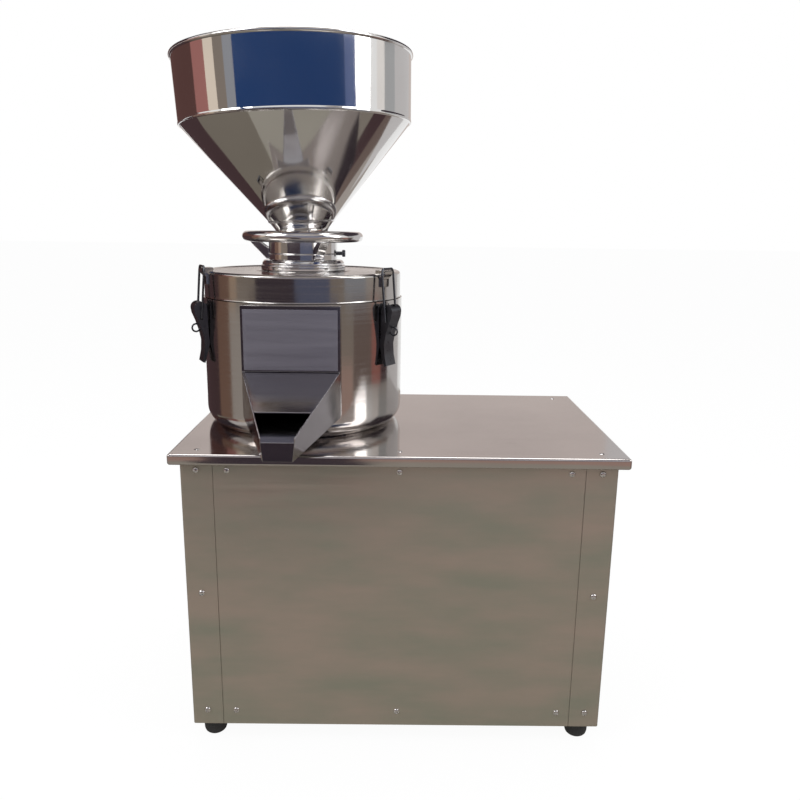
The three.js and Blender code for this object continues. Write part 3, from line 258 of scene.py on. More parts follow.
rubber = rough_solid("rubber", (0.022, 0.022, 0.023), 0, 0.72, 500, 0.25)
cast_iron = rough_solid("cast_iron", (0.2, 0.205, 0.21), 0.7, 0.55, 420, 0.5)
stone = rough_solid("stone", (0.5, 0.48, 0.43), 0, 0.9, 900, 0.9, 0.55)
motor_paint = rough_solid("motor_paint", (0.09, 0.15, 0.2), 0, 0.4, 300, 0.1)
dark_plastic = rough_solid("dark_plastic", (0.03, 0.03, 0.033), 0, 0.45, 800, 0.12)
green_plastic = rough_solid("green_plastic", (0.02, 0.3, 0.07), 0, 0.3, 800, 0.05)
red_plastic = rough_solid("red_plastic", (0.5, 0.02, 0.02), 0, 0.3, 800, 0.05)

SLOT_FINISH = {
    "polished_steel": mirror_steel,
    "tabletop_steel": table_steel,
    "panel_steel": panel_steel,
    "frame_steel": frame_steel,
    "rubber": rubber,
    "bright_steel": bright_steel,
    # the record's blackened steel gets the steel whose dark colour is a painted reflection of dark surroundings,
    # since the latches are polished steel
    "blackened_steel": painted_reflection_dark_steel,
    "plate": plate_metal,
    "cast_iron": cast_iron,
    "grinding_stone": stone,
    "motor_paint": motor_paint,
    "dark_plastic": dark_plastic,
    "green_plastic": green_plastic,
    "red_plastic": red_plastic,
}
body_of_node = {
    node: body for body, nodes in frame["record"]["behaviour"]["bodies"].items() for node in nodes
}
slot_of_node = {part["node"]: part["material_slot"] for part in frame["record"]["subparts"]}
for node, slot in slot_of_node.items():
    mesh = frame["nodes"][node].data
    mesh.materials.clear()
    mesh.materials.append(SLOT_FINISH[slot])
print(len(slot_of_node), "nodes have a finish")

# %% [markdown]
# Round pieces are turned: a profile of a few points, its corners rounded by bevelling the
# points, is spun about the axis. A closed profile gives a shell with a real wall, so rims and
# folded edges catch the light as sheet metal does.

# %% Helpers for meshes
SAME_POINT = 1e-6  # metres, as the next two are
SAME_CORNER = 1e-5
ON_PLANE = 1e-7
FLAT_ANGLE = 1.5  # degrees that two faces of one flat side may differ by


def as_mesh(bm, name):
    mesh = bpy.data.meshes.new(name)
    bm.to_mesh(mesh)
    bm.free()
    return mesh


def chain(bm, points, closed):
    """Points in millimetres, joined by edges in their order."""
    verts = [bm.verts.new(Vector(point) * MM) for point in points]
    pairs = list(zip(verts, verts[1:]))
    if closed:
        pairs.append((verts[-1], verts[0]))
    for pair in pairs:
        bm.edges.new(pair)
    return verts


def points_of(made):
    """The points among what an operator made."""
    return [g for g in made["geom"] if isinstance(g, bmesh.types.BMVert)]


def drawn_up(bm, height):
    """Draws every edge of a flat path up into an upright sheet."""
    raised = points_of(bmesh.ops.extrude_edge_only(bm, edges=bm.edges[:]))
    bmesh.ops.translate(bm, vec=(0, 0, height * MM), verts=raised)


def round_points(bm, verts, radius, segments=3):
    bmesh.ops.bevel(
        bm, geom=verts, offset=radius * MM, offset_type="OFFSET", segments=segments,
        profile=0.5, affect="VERTICES", material=-1,
    )


FINE_STEPS = 192  # round the largest mirrors


def spun(bm, steps):
    """Spins everything in a bmesh once round Z."""
    bmesh.ops.spin(
        bm, geom=bm.verts[:] + bm.edges[:], axis=(0, 0, 1), cent=(0, 0, 0),
        steps=steps, angle=TURN, use_merge=True,
    )


def cut_along(bm, point, normal):
    """Cuts the faces along a plane, and keeps both sides."""
    bmesh.ops.bisect_plane(
        bm, geom=bm.verts[:] + bm.edges[:] + bm.faces[:],
        plane_co=point, plane_no=normal, dist=ON_PLANE,
    )


def turned(profile, steps=160, closed=True, segments=3):
    """Spins a profile of (radius, height) or (radius, height, corner radius) about Z."""
    bm = bmesh.new()
    verts = chain(bm, [(point[0], 0, point[1]) for point in profile], closed)
    for radius in sorted({point[2] for point in profile if len(point) > 2}):
        corners = [v for v, point in zip(verts, profile) if len(point) > 2 and point[2] == radius]
        round_points(bm, corners, radius, segments)
    spun(bm, steps)
    bmesh.ops.remove_doubles(bm, verts=bm.verts, dist=SAME_POINT)
    return bm


def sharp_edges(bm, angle):
    limit = math.radians(angle)
    return [e for e in bm.edges if e.is_manifold and e.calc_face_angle(0) > limit]


def soften(bm, width, segments=2, angle=40):
    """Bevels every edge that turns by more than an angle."""
    bmesh.ops.bevel(
        bm, geom=sharp_edges(bm, angle), offset=width * MM, offset_type="OFFSET",
        segments=segments, profile=0.5, affect="EDGES", clamp_overlap=True, material=-1,
    )


def block(low, high):
    """A box between two corners in millimetres."""
    low = Vector(low)
    high = Vector(high)
    bm = bmesh.new()
    bmesh.ops.create_cube(bm, size=1)
    bmesh.ops.scale(bm, vec=(high - low) * MM, verts=bm.verts)
    bmesh.ops.translate(bm, vec=(high + low) / 2 * MM, verts=bm.verts)
    return bm


def slab(points, thickness, segments=0, radius=0):
    """A flat outline of (x, z) points, as thick as given along Y and centred on it."""
    bm = bmesh.new()
    chain(bm, [(x, -thickness / 2, z) for x, z in points], True)
    if radius:
        round_points(bm, bm.verts[:], radius, segments)
    bmesh.ops.contextual_create(bm, geom=bm.edges[:])
    other_side = points_of(bmesh.ops.extrude_face_region(bm, geom=bm.faces[:]))
    bmesh.ops.translate(bm, vec=(0, thickness * MM, 0), verts=other_side)
    bmesh.ops.recalc_face_normals(bm, faces=bm.faces)
    return bm


def joined(*meshes):
    """Several bmeshes as one."""
    whole = bmesh.new()
    for bm in meshes:
        part = as_mesh(bm, "part")
        whole.from_mesh(part)
        bpy.data.meshes.remove(part)
    return whole


def finished(bm, name, node, finish, smooth=32, slot=None):
    """Turns a bmesh into a piece that rides with a node's body.

    It stands for the node, unless it is an extra piece with a slot of its own.
    """
    bmesh.ops.recalc_face_normals(bm, faces=bm.faces)
    mesh = as_mesh(bm, name)
    mesh.materials.append(finish)
    mesh.shade_smooth()
    mesh.set_sharp_from_angle(angle=math.radians(smooth))
    piece = linked(bpy.data.objects.new(name, mesh))
    even = piece.modifiers.new("even", "WEIGHTED_NORMAL")
    even.keep_sharp = True
    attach(piece, body_of_node[node])
    if not slot:
        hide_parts(node)
    print(name, len(mesh.polygons), "faces")


def refined(node, name, finish, width, segments=2, angle=30, shape=None):
    """A node whose form is right, with its edges broken as a real one's are."""
    bm = bmesh.new()
    bm.from_mesh(frame["nodes"][node].data)
    bmesh.ops.remove_doubles(bm, verts=bm.verts, dist=SAME_CORNER)
    bmesh.ops.dissolve_limit(
        bm, angle_limit=math.radians(FLAT_ANGLE), verts=bm.verts, edges=bm.edges, delimit=set(),
    )
    if shape:
        shape(bm)
    soften(bm, width, segments, angle)
    finished(bm, name, node, finish)


# %% [markdown]
# The hopper is the largest mirror on the machine: a short neck, a wide cone, and above a folded
# seam an upright band with a rolled rim. It leans a little to the left. Spinning one closed
# profile makes all of it, with a small weld bead and the folded seam as steps in the profile.

# %% Hopper
HOPPER_LEAN = 2.1  # degrees
HOPPER_SEAT = 262  # from the tabletop up to where the hopper's own heights start
SHEET = 1.5
NECK_RADIUS = 41
NECK_FOOT = 2
NECK_TOP = 46
SEAM_HEIGHT = 205.5
SEAM_RADIUS = 178.5
SEAM_BULGE = 0.5
RIM_HEIGHT = 304
RIM_RADIUS = 181
RIM_BEAD = 3
BEAD_STEPS = 10
BEAD_START = -60  # degrees, under the rim on its outer side
BEAD_TURN = 240
WELD_RADIUS = 52  # where the cone's lower ring is welded on
WELD_HALF = 1.6
WELD_RISE = 0.9
cone_slope = (SEAM_HEIGHT - NECK_TOP) / (SEAM_RADIUS - NECK_RADIUS)


def cone_height(radius):
    return NECK_TOP + (radius - NECK_RADIUS) * cone_slope


def bend_points(radius, centre_radius, centre_height, start, end, steps):
    """Points of (radius, height) on a bend, from one angle in degrees to another."""
    return [
        (
            centre_radius + radius * math.cos(math.radians(start + (end - start) * i / steps)),
            centre_height + radius * math.sin(math.radians(start + (end - start) * i / steps)),
        )
        for i in range(steps + 1)
    ]


bead = bend_points(
    RIM_BEAD, RIM_RADIUS, RIM_HEIGHT - RIM_BEAD, BEAD_START, BEAD_START + BEAD_TURN, BEAD_STEPS,
)
wall_shift = SHEET * 1.25  # how much higher the inner cone lies
hopper_profile = [
    (NECK_RADIUS, NECK_FOOT, 0.4),
    (NECK_RADIUS, NECK_TOP, 5),
    (WELD_RADIUS - WELD_HALF, cone_height(WELD_RADIUS - WELD_HALF), 0.5),
    (WELD_RADIUS + WELD_RISE * 0.6, cone_height(WELD_RADIUS) - WELD_RISE, 0.5),
    (WELD_RADIUS + WELD_HALF, cone_height(WELD_RADIUS + WELD_HALF), 0.5),
    (SEAM_RADIUS - 2.2, cone_height(SEAM_RADIUS - 2.2), 0.6),
    (SEAM_RADIUS, SEAM_HEIGHT - 2.4, 0.6),
    (SEAM_RADIUS + SEAM_BULGE, SEAM_HEIGHT, 0.6),
    (SEAM_RADIUS, SEAM_HEIGHT + 2.6, 0.6),
    (RIM_RADIUS, RIM_HEIGHT - 2 * RIM_BEAD),
    *bead,
    (RIM_RADIUS - SHEET, RIM_HEIGHT - 2 * RIM_BEAD),
    (SEAM_RADIUS - SHEET, SEAM_HEIGHT + 2, 2),
    (NECK_RADIUS - SHEET, NECK_TOP + wall_shift, 4),
    (NECK_RADIUS - SHEET, NECK_FOOT, 0.4),
]
hopper = turned(hopper_profile, FINE_STEPS)
lean = Matrix.Rotation(-math.radians(HOPPER_LEAN), 4, "Y")
hopper.transform(at_mill @ Matrix.Translation((0, 0, HOPPER_SEAT * MM)) @ lean)
finished(hopper, "hopper_shell", "hopper", mirror_steel)

# %% [markdown]
# The drum is a pot with a rounded foot, and inside it a floor that the ground paste runs round
# on. Its outlet opens into the chute. The outlet is cut after the spin: two upright planes and
# two rings of the profile mark it on the front, and the faces between them are deleted before
# the wall gets thick.

# %% Drum
DRUM_RADIUS = (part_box("drum")[1].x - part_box("drum")[0].x) / 2 / MM
DRUM_WALL = 2.5
DRUM_TOP = 204
DRUM_BEND = 28
DRUM_BEND_STEPS = 10
BASE_BORE = 96
CHAMBER_FLOOR = 104
FLOOR_BORE = 45.3
DRUM_FLOOR_STEPS = 128
OUTLET_HALF = 50
OUTLET_TOP = 134
GAP = 0.3  # clearance between pieces that stand on each other


def spun_sheet(points, steps):
    """A sheet without a wall yet, spun from points of (radius, height)."""
    bm = bmesh.new()
    chain(bm, [(r, 0, z) for r, z in points], False)
    spun(bm, steps)
    bmesh.ops.remove_doubles(bm, verts=bm.verts, dist=SAME_POINT)
    return bm


wall_points = [
    (BASE_BORE, GAP),
    *bend_points(DRUM_BEND, DRUM_RADIUS - DRUM_BEND, DRUM_BEND + GAP, -90, 0, DRUM_BEND_STEPS),
    (DRUM_RADIUS, CHAMBER_FLOOR),
    (DRUM_RADIUS, OUTLET_TOP),
    (DRUM_RADIUS, DRUM_TOP),
]
drum = spun_sheet(wall_points, FINE_STEPS)
for x in (-OUTLET_HALF, OUTLET_HALF):
    cut_along(drum, (x * MM, 0, 0), (1, 0, 0))
outlet = [
    f for f in drum.faces
    if abs(f.calc_center_median().x) < OUTLET_HALF * MM
    and f.calc_center_median().y < 0
    and CHAMBER_FLOOR * MM < f.calc_center_median().z < OUTLET_TOP * MM
]
bmesh.ops.delete(drum, geom=outlet, context="FACES")
bmesh.ops.recalc_face_normals(drum, faces=drum.faces)
outwards = max(drum.faces, key=lambda f: f.calc_center_median().x)
if outwards.normal.x < 0:
    bmesh.ops.reverse_faces(drum, faces=drum.faces)
bmesh.ops.solidify(drum, geom=drum.faces[:], thickness=-DRUM_WALL * MM)
drum_floor = turned(
    [
        (FLOOR_BORE, CHAMBER_FLOOR),
        (DRUM_RADIUS - DRUM_WALL, CHAMBER_FLOOR),
        (DRUM_RADIUS - DRUM_WALL, CHAMBER_FLOOR - DRUM_WALL),
        (FLOOR_BORE, CHAMBER_FLOOR - DRUM_WALL),
    ],
    DRUM_FLOOR_STEPS,
)
drum = joined(drum, drum_floor)
drum.transform(at_mill)
finished(drum, "drum_shell", "drum", lined_steel, smooth=40)

# %% [markdown]
# The lid is a shallow cap whose top edge is bent with a small radius. A bright line runs round
# its lower edge where it meets the drum, so the profile ends there in a slim bead. The keepers
# that the latches hook over are welded on the edge, as folded angles with broken edges.

# %% Lid
LID_TOP = 245.5
LID_WALL = 2.5
LID_BEND = 5
LID_BEAD = 0.7
LID_DISH = 1.2  # how deep the lid's top is pressed in between its rim and its neck
RIM_WIDTH = 12
NECK_BORE = 50.5
NECK_LAND = 24
SEAT = LID_TOP + 5.4  # where a bail's bar rests
KEEPER_WIDTH = 20
KEEPER_SLOPE = 24  # degrees
KEEPER_NOSE = 3.375
lid_profile = [
    (DRUM_RADIUS - LID_WALL, DRUM_TOP + GAP, 0.3),
    (DRUM_RADIUS, DRUM_TOP + GAP, 0.5),
    (DRUM_RADIUS + LID_BEAD, DRUM_TOP + 1.2, 0.5),
    (DRUM_RADIUS, DRUM_TOP + 2.4, 0.5),
    *bend_points(LID_BEND, DRUM_RADIUS - LID_BEND, LID_TOP - LID_BEND, 0, 90, 8),
    (DRUM_RADIUS - RIM_WIDTH, LID_TOP, 0.8),
    (DRUM_RADIUS - RIM_WIDTH - 3, LID_TOP - LID_DISH, 0.8),
    (NECK_BORE + NECK_LAND + 2, LID_TOP - LID_DISH, 0.8),
    (NECK_BORE + NECK_LAND, LID_TOP, 0.8),
    (NECK_BORE, LID_TOP),
    (NECK_BORE, LID_TOP - LID_WALL - 1),
    *bend_points(LID_BEND - LID_WALL, DRUM_RADIUS - LID_BEND, LID_TOP - LID_BEND, 90, 0, 4),
]
keeper_fall = math.tan(math.radians(KEEPER_SLOPE)) * KEEPER_NOSE
keeper_profile = [  # from the seat's inner end, down through the lid's edge and up outside
    (DRUM_RADIUS - 9, SEAT),
    (DRUM_RADIUS - 9, LID_TOP - 1),
    (DRUM_RADIUS - 5, LID_TOP - 1),
    (DRUM_RADIUS - 1, LID_TOP - 5),
    (DRUM_RADIUS - 1, LID_TOP - 20),
    (DRUM_RADIUS + 3, LID_TOP - 20),
    (DRUM_RADIUS + 3, LID_TOP - 8),
    (DRUM_RADIUS + 9, LID_TOP - 1),
    (DRUM_RADIUS + 9, SEAT - keeper_fall),
    (DRUM_RADIUS + 9 - KEEPER_NOSE, SEAT),
]
levers = {  # the pivots of the latches' levers, from the mill's axis
    joint["name"].removeprefix("lever_open_"): Vector(joint["pos_m"]) - MILL
    for joint in frame["joints"] if joint["name"].startswith("lever_open_")
}
keepers = []
for pivot in levers.values():
    keeper = slab(keeper_profile, KEEPER_WIDTH)
    soften(keeper, 0.6)
    keeper.transform(Matrix.Rotation(math.atan2(pivot.y, pivot.x), 4, "Z"))
    keepers.append(keeper)
lid = joined(turned(lid_profile, FINE_STEPS), *keepers)
lid.transform(at_mill)
finished(lid, "lid_shell", "lid", lined_steel)

# %% [markdown]
# On the lid sits a turned flange, and on it the adjusting handwheel: a collar, three flat arms
# and a ring of round bar, welded together and polished. The ring is a circle spun about the
# axis, so its highlight runs round without a facet.

# %% Neck flange and handwheel
FLANGE_RADIUS = 68
FLANGE_HEIGHT = 15
FLANGE_STEP = 2
flange_foot = LID_TOP + GAP
flange_top = flange_foot + FLANGE_HEIGHT
flange = turned([
    (NECK_BORE, flange_foot),
    (FLANGE_RADIUS, flange_foot, 0.8),
    (FLANGE_RADIUS, flange_top - 8, 0.8),
    (FLANGE_RADIUS - FLANGE_STEP, flange_top - 7, 0.6),
    (FLANGE_RADIUS - FLANGE_STEP, flange_top - 4, 0.6),
    (FLANGE_RADIUS - 5, flange_top, 1),
    (NECK_BORE, flange_top, 0.5),
])
flange.transform(at_mill)
finished(flange, "neck_flange_turned", "neck_flange", bright_steel)

COLLAR_RADIUS = 55
COLLAR_HEIGHT = 30
RING_RADIUS = 88.5
RING_BAR = 8
RING_RISE = 37
RING_STEPS = 144
RING_SIDES = 28
ARM_WIDTH = 14
ARM_ANGLES = (180, 60, -60)
COLLAR_GROOVE = 10  # the height of the groove's middle
GROOVE_DEPTH = 0.8
collar_foot = flange_top + GAP
ring_height = flange_top + RING_RISE
collar = turned([
    (NECK_BORE, collar_foot, 0.5),
    (COLLAR_RADIUS, collar_foot, 1),
    (COLLAR_RADIUS, collar_foot + COLLAR_GROOVE - 1, 0.5),
    (COLLAR_RADIUS - GROOVE_DEPTH, collar_foot + COLLAR_GROOVE, 0.4),
    (COLLAR_RADIUS, collar_foot + COLLAR_GROOVE + 1, 0.5),
    (COLLAR_RADIUS, collar_foot + COLLAR_HEIGHT, 2),
    (NECK_BORE, collar_foot + COLLAR_HEIGHT, 0.5),
])
ring = bmesh.new()
bmesh.ops.create_circle(ring, segments=RING_SIDES, radius=RING_BAR * MM)
bmesh.ops.rotate(ring, verts=ring.verts, matrix=Matrix.Rotation(math.pi / 2, 3, "X"))
bmesh.ops.translate(ring, verts=ring.verts, vec=Vector((RING_RADIUS, 0, ring_height)) * MM)
spun(ring, RING_STEPS)
arms = []
for angle in ARM_ANGLES:
    arm = slab(
        [
            (COLLAR_RADIUS - 1, collar_foot + 1),
            (COLLAR_RADIUS + 4, collar_foot + 1),
            (RING_RADIUS - 2, ring_height - RING_BAR + 1),
            (RING_RADIUS - RING_BAR + 1, ring_height + 1),
            (COLLAR_RADIUS - 1, collar_foot + COLLAR_HEIGHT * 0.6),
        ],
        ARM_WIDTH,
    )
    soften(arm, 1.2, segments=3)
    bmesh.ops.rotate(arm, verts=arm.verts, matrix=Matrix.Rotation(math.radians(angle), 3, "Z"))
    arms.append(arm)
handwheel = joined(collar, ring, *arms)
handwheel.transform(at_mill)
finished(handwheel, "handwheel_welded", "adjusting_handwheel", bright_steel, smooth=40)

# %% [markdown]
# The handwheel's lock screw is a small knurled head on a threaded shank. The knurl is cut by
# pushing every second column of points in, which is enough at this size.

# %% Lock screw
screw_low, screw_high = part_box("lock_screw")
HEAD_LENGTH = 5
SHANK_RADIUS = 3
KNURLS = 24
KNURL_DEPTH = 0.93  # a low column's share of the head's radius
head_radius = (screw_high.z - screw_low.z) / 2 / MM
shank_end = (screw_high.x - screw_low.x) / MM - HEAD_LENGTH
lock_screw = turned(
    [
        (0, 0),
        (SHANK_RADIUS - 0.6, 0, 0.2),
        (SHANK_RADIUS, 1, 0.2),
        (SHANK_RADIUS, shank_end, 0.2),
        (head_radius - 0.4, shank_end, 0.3),
        (head_radius, shank_end + 0.8, 0.3),
        (head_radius, shank_end + HEAD_LENGTH - 0.8, 0.3),
        (head_radius - 0.8, shank_end + HEAD_LENGTH, 0.3),
        (0, shank_end + HEAD_LENGTH),
    ],
    2 * KNURLS,
    closed=False,
)
for vert in lock_screw.verts:
    around = Vector((vert.co.x, vert.co.y))
    column = round(math.atan2(around.y, around.x) / TURN * 2 * KNURLS)
    if vert.co.z > shank_end * MM and around.length > (head_radius - 0.3) * MM and column % 2:
        vert.co.xy = around * KNURL_DEPTH
lock_screw.transform(Matrix.Rotation(math.pi / 2, 4, "Y"))
middle = (screw_low + screw_high) / 2
lock_screw.transform(Matrix.Translation((screw_low.x, middle.y, middle.z)))
finished(lock_screw, "lock_screw_knurled", "lock_screw", painted_reflection_dark_steel)

# %% [markdown]
# The chute is one folded and welded sheet: a flat box front that carries a bare plate, a
# sloping cover under it, and an open trough that narrows to the spout. Its form in the frame
# is right, so a merged copy of it gets broken edges, which draw the fine light lines that
# folded sheet has. The lip's lower corners are drawn in, as the sheet is cut there.

# %% Chute and plate
LIP_TAPER = 0.85  # the lip's lower width, as a share of its upper one
LIP_DEPTH = 3
PLATE_BORDER = 3.2
PLATE_GROOVE = 0.25
GROOVE_WIDTH = 0.5


def taper_lip(bm):
    """Draws the lip's lower edge in towards its middle."""
    foot = min(v.co.z for v in bm.verts)
    tip = min(v.co.y for v in bm.verts)
    corners = [v for v in bm.verts if v.co.z < foot + MM and v.co.y < tip + LIP_DEPTH * MM]
    bmesh.ops.triangulate(bm, faces=list({f for v in corners for f in v.link_faces}))
    for vert in corners:
        vert.co.x = MILL.x + (vert.co.x - MILL.x) * LIP_TAPER


refined("discharge_chute", "chute_folded", chute_steel, 0.45, shape=taper_lip)
plate_low, plate_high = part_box("name_plate")
plate = block(plate_low / MM, plate_high / MM)
front = min(plate.faces, key=lambda f: f.calc_center_median().y)
bmesh.ops.inset_region(plate, faces=[front], thickness=PLATE_BORDER * MM, use_even_offset=True)
for depth in (-PLATE_GROOVE, PLATE_GROOVE):
    bmesh.ops.inset_region(plate, faces=[front], thickness=GROOVE_WIDTH * MM, depth=depth * MM)
soften(plate, 0.15, segments=1)
finished(plate, "plate_bare", "name_plate", plate_metal, smooth=20)

# %% [markdown]
# A latch is three pieces: a bracket with the pivot pin, a forked lever with a rounded head and a
# thin tail, and a bail of bent wire that hooks over the lid. The bail is modelled as a bent
# path with rounded corners and a round section swept along it.

# %% Latches
LEVER_WIDTH = 26
LEVER_TAIL = 69
WIRE_RADIUS = 1.75
WIRE_BEND = 2
EYE_DROP = 16  # how far a bail's eye lies under its lever's pivot, and how far in from it
EYE_IN = 0.8
EYE_DEPTH = 10  # how far the wire's end reaches into the lever
BAR_HEIGHT = SEAT + GAP + WIRE_RADIUS
BAR_OUT = 6.5
BAR_HALF = 12.5


def swept_wire(points, radius, name, corner):
    """A round wire through points, its corners bent with a radius. Returns a bmesh."""
    path = bmesh.new()
    verts = chain(path, points, False)
    round_points(path, verts[1:-1], corner, 5)
    order = [next(v for v in path.verts if len(v.link_edges) == 1)]
    edge = order[0].link_edges[0]
    while True:
        order.append(edge.other_vert(order[-1]))
        onward = [e for e in order[-1].link_edges if e != edge]
        if not onward:
            break
        edge = onward[0]
    curve = bpy.data.curves.new(name, "CURVE")
    curve.dimensions = "3D"
    spline = curve.splines.new("POLY")
    spline.points.add(len(order) - 1)
    for point, vert in zip(spline.points, order):
        point.co = (*vert.co, 1)
    curve.bevel_depth = radius * MM
    curve.bevel_resolution = 3
    curve.use_fill_caps = True
    holder = linked(bpy.data.objects.new(name, curve))
    bpy.context.view_layer.update()
    worked_out = holder.evaluated_get(bpy.context.evaluated_depsgraph_get())
    made = bpy.data.meshes.new_from_object(worked_out)
    bpy.data.objects.remove(holder)
    path.free()
    bm = bmesh.new()
    bm.from_mesh(made)
    bmesh.ops.remove_doubles(bm, verts=bm.verts, dist=SAME_POINT)
    return bm


for side, pivot in levers.items():
    station = at_mill @ Matrix.Rotation(math.atan2(pivot.y, pivot.x), 4, "Z")
    eye_out = pivot.xy.length / MM - EYE_IN
    eye_height = pivot.z / MM + MILL.z / MM - TABLE - EYE_DROP
    leg = LEVER_WIDTH / 2 + GAP + WIRE_RADIUS
    knee_height = eye_height + LEVER_TAIL + 2 * WIRE_RADIUS
    rise = (knee_height - eye_height) / (BAR_HEIGHT - eye_height)
    knee_out = eye_out + (DRUM_RADIUS + BAR_OUT - eye_out) * rise
    half = [
        (eye_out, EYE_DEPTH - leg, eye_height),
        (eye_out, -leg, eye_height),
        (knee_out, -leg, knee_height),
        (DRUM_RADIUS + BAR_OUT, -BAR_HALF, BAR_HEIGHT),
    ]
    mirrored = [(x, -y, z) for x, y, z in reversed(half)]
    bail = swept_wire([*half, *mirrored], WIRE_RADIUS, "bail_" + side, WIRE_BEND)
    bail.transform(station)
    finished(bail, "bail_wire_" + side, "latch_bail_" + side, painted_reflection_dark_steel)
    # Levers, brackets and bails take the steel whose dark colour is a painted reflection.
    refined("latch_lever_" + side, "lever_" + side, painted_reflection_dark_steel, 0.8, segments=3, angle=35)
    refined("latch_bracket_" + side, "bracket_" + side, painted_reflection_dark_steel, 0.3, angle=35)

# %% [markdown]
# The tabletop is a folded tray. A cube is scaled to it, its edges are bevelled by the fold's
# radius, and the underside is inset and opened, so that the sheet's real thickness and its
# inward fold show from below.

# %% Tabletop
FOLD = 2.2
FOLDED_IN = 8  # the width of the sheet's inward fold underneath
tray = block(table_low / MM, table_high / MM)
soften(tray, FOLD, segments=4)
under = min(tray.faces, key=lambda f: f.calc_center_median().z)
bmesh.ops.inset_region(tray, faces=[under], thickness=FOLDED_IN * MM, use_even_offset=True)
bmesh.ops.delete(tray, geom=[under], context="FACES")
bmesh.ops.recalc_face_normals(tray, faces=tray.faces)
top = max(tray.faces, key=lambda f: f.calc_center_median().z)
if top.normal.z < 0:
    bmesh.ops.reverse_faces(tray, faces=tray.faces)
bmesh.ops.solidify(tray, geom=tray.faces[:], thickness=-SHEET * MM)
finished(tray, "tabletop_folded", "table_top", table_steel)

# %% [markdown]
# Each side panel is one sheet folded round two corners, and the front and back panels lie
# between them. The front panel's face stands a little in from its edge all round, on a thin
# rebate, so that a narrow dark groove shows at each seam, as it does on the real cabinet.

# %% Cabinet panels
CORNER_FOLD = 3
PANEL_ROUND = 0.4
PANEL_SEAM = 1.2
PANEL_REBATE = 0.3


def raised_sheet(points, foot, height, corner):
    """A sheet that stands on a path of (x, y) points, with rounded corners."""
    bm = bmesh.new()
    verts = chain(bm, [(x, y, foot) for x, y in points], False)
    round_points(bm, verts[1:-1], corner, 4)
    drawn_up(bm, height)
    return bm


for node, side in (("left_side_panel", -1), ("right_side_panel", 1)):
    low, high = (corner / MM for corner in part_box(node))
    outer = high.x if side > 0 else low.x
    wrap = low.x if side > 0 else high.x
    inset = SHEET / 2
    folded = raised_sheet(
        [
            (wrap, low.y + inset),
            (outer - side * inset, low.y + inset),
            (outer - side * inset, high.y - inset),
            (wrap, high.y - inset),
        ],
        low.z, high.z - low.z, CORNER_FOLD,
    )
    bmesh.ops.recalc_face_normals(folded, faces=folded.faces)
    bmesh.ops.solidify(folded, geom=folded.faces[:], thickness=SHEET * MM)
    soften(folded, 0.7, angle=60)
    finished(folded, node + "_folded", node, panel_steel)

low, high = (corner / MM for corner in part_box("front_panel"))
panel = block((low.x, high.y - PANEL_REBATE, low.z), high)
outside = min(panel.faces, key=lambda f: f.calc_center_median().y)
bmesh.ops.inset_region(panel, faces=[outside], thickness=PANEL_SEAM * MM, use_even_offset=True)
face_points = points_of(bmesh.ops.extrude_face_region(panel, geom=[outside]))
bmesh.ops.delete(panel, geom=[outside], context="FACES_ONLY")
forward_by = (low.y - high.y + PANEL_REBATE) * MM
bmesh.ops.translate(panel, vec=(0, forward_by, 0), verts=face_points)
outside = min(panel.faces, key=lambda f: f.calc_center_median().y)
bmesh.ops.bevel(
    panel, geom=outside.edges[:], offset=PANEL_ROUND * MM, offset_type="OFFSET",
    segments=3, profile=0.5, affect="EDGES", material=-1,
)
finished(panel, "front_panel_sheet", "front_panel", panel_steel)
refined("back_panel", "back_panel_sheet", panel_steel, 0.5)

# %% [markdown]
# Every panel is held by pan head screws with a cross slot. One head is a spun dome with two
# crossed grooves pressed into it, and a loop sets the same head in all its places.

# %% Screws
SCREW_RADIUS = 4.8
SCREW_RISE = 2.4
SCREW_STEPS = 24
SCREW_SINK = 0.4  # how deep a head's underside lies in the sheet
SLOT_HALF = 0.14  # the slots' sizes, as shares of the head's radius and height
SLOT_REACH = 0.6
SLOT_DEPTH = 0.45
SCREW_TWIST = 0.7  # radians from one head to the next, so that no two slots line up
POST_X = 290  # sideways from the cabinet's middle, as PANEL_X is
PANEL_X = 246
TABLE_EDGE = 25  # in from the tabletop's front and rear edges
ROWS = (-25, -216, -412)  # heights from the tabletop's upper face
front_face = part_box("front_panel")[0].y / MM
back_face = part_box("back_panel")[1].y / MM
cabinet_x = (table_low.x + table_high.x) / 2 / MM


def screw_head():
    """A pan head with its washer face at height 0, looking up Z, with a cross slot."""
    bm = turned(
        [
            (0, -SCREW_SINK),
            (SCREW_RADIUS, -SCREW_SINK),
            (SCREW_RADIUS, 0.5, 0.4),
            (SCREW_RADIUS * 0.82, SCREW_RISE * 0.75, 0.8),
            (SCREW_RADIUS * 0.45, SCREW_RISE),
            (0, SCREW_RISE),
        ],
        SCREW_STEPS,
        closed=False,
        segments=2,
    )
    slot_half = SCREW_RADIUS * SLOT_HALF * MM
    reach = SCREW_RADIUS * SLOT_REACH * MM
    for axis in (0, 1):
        for side in (-1, 1):
            normal = Vector((0, 0, 0))
            normal[axis] = 1
            cut_along(bm, normal * side * slot_half, normal)
    pressed = [
        f for f in bm.faces
        if f.calc_center_median().z > SCREW_RISE * 0.6 * MM
        and f.calc_center_median().xy.length < reach
        and min(abs(f.calc_center_median().x), abs(f.calc_center_median().y)) < slot_half
    ]
    slot_floor = points_of(bmesh.ops.extrude_face_region(bm, geom=pressed))
    bmesh.ops.delete(bm, geom=pressed, context="FACES_ONLY")
    bmesh.ops.translate(bm, vec=(0, 0, -SCREW_RISE * SLOT_DEPTH * MM), verts=slot_floor)
    return bm


def screws(name, places, turn):
    """One piece that holds a screw head in each place, and rides with the cabinet."""
    heads = []
    for count, place in enumerate(places):
        head = screw_head()
        twist = Matrix.Rotation(count * SCREW_TWIST, 4, "Z")
        head.transform(Matrix.Translation(Vector(place) * MM) @ turn @ twist)
        heads.append(head)
    finished(joined(*heads), name, "front_panel", bright_steel, smooth=35, slot="bright_steel")


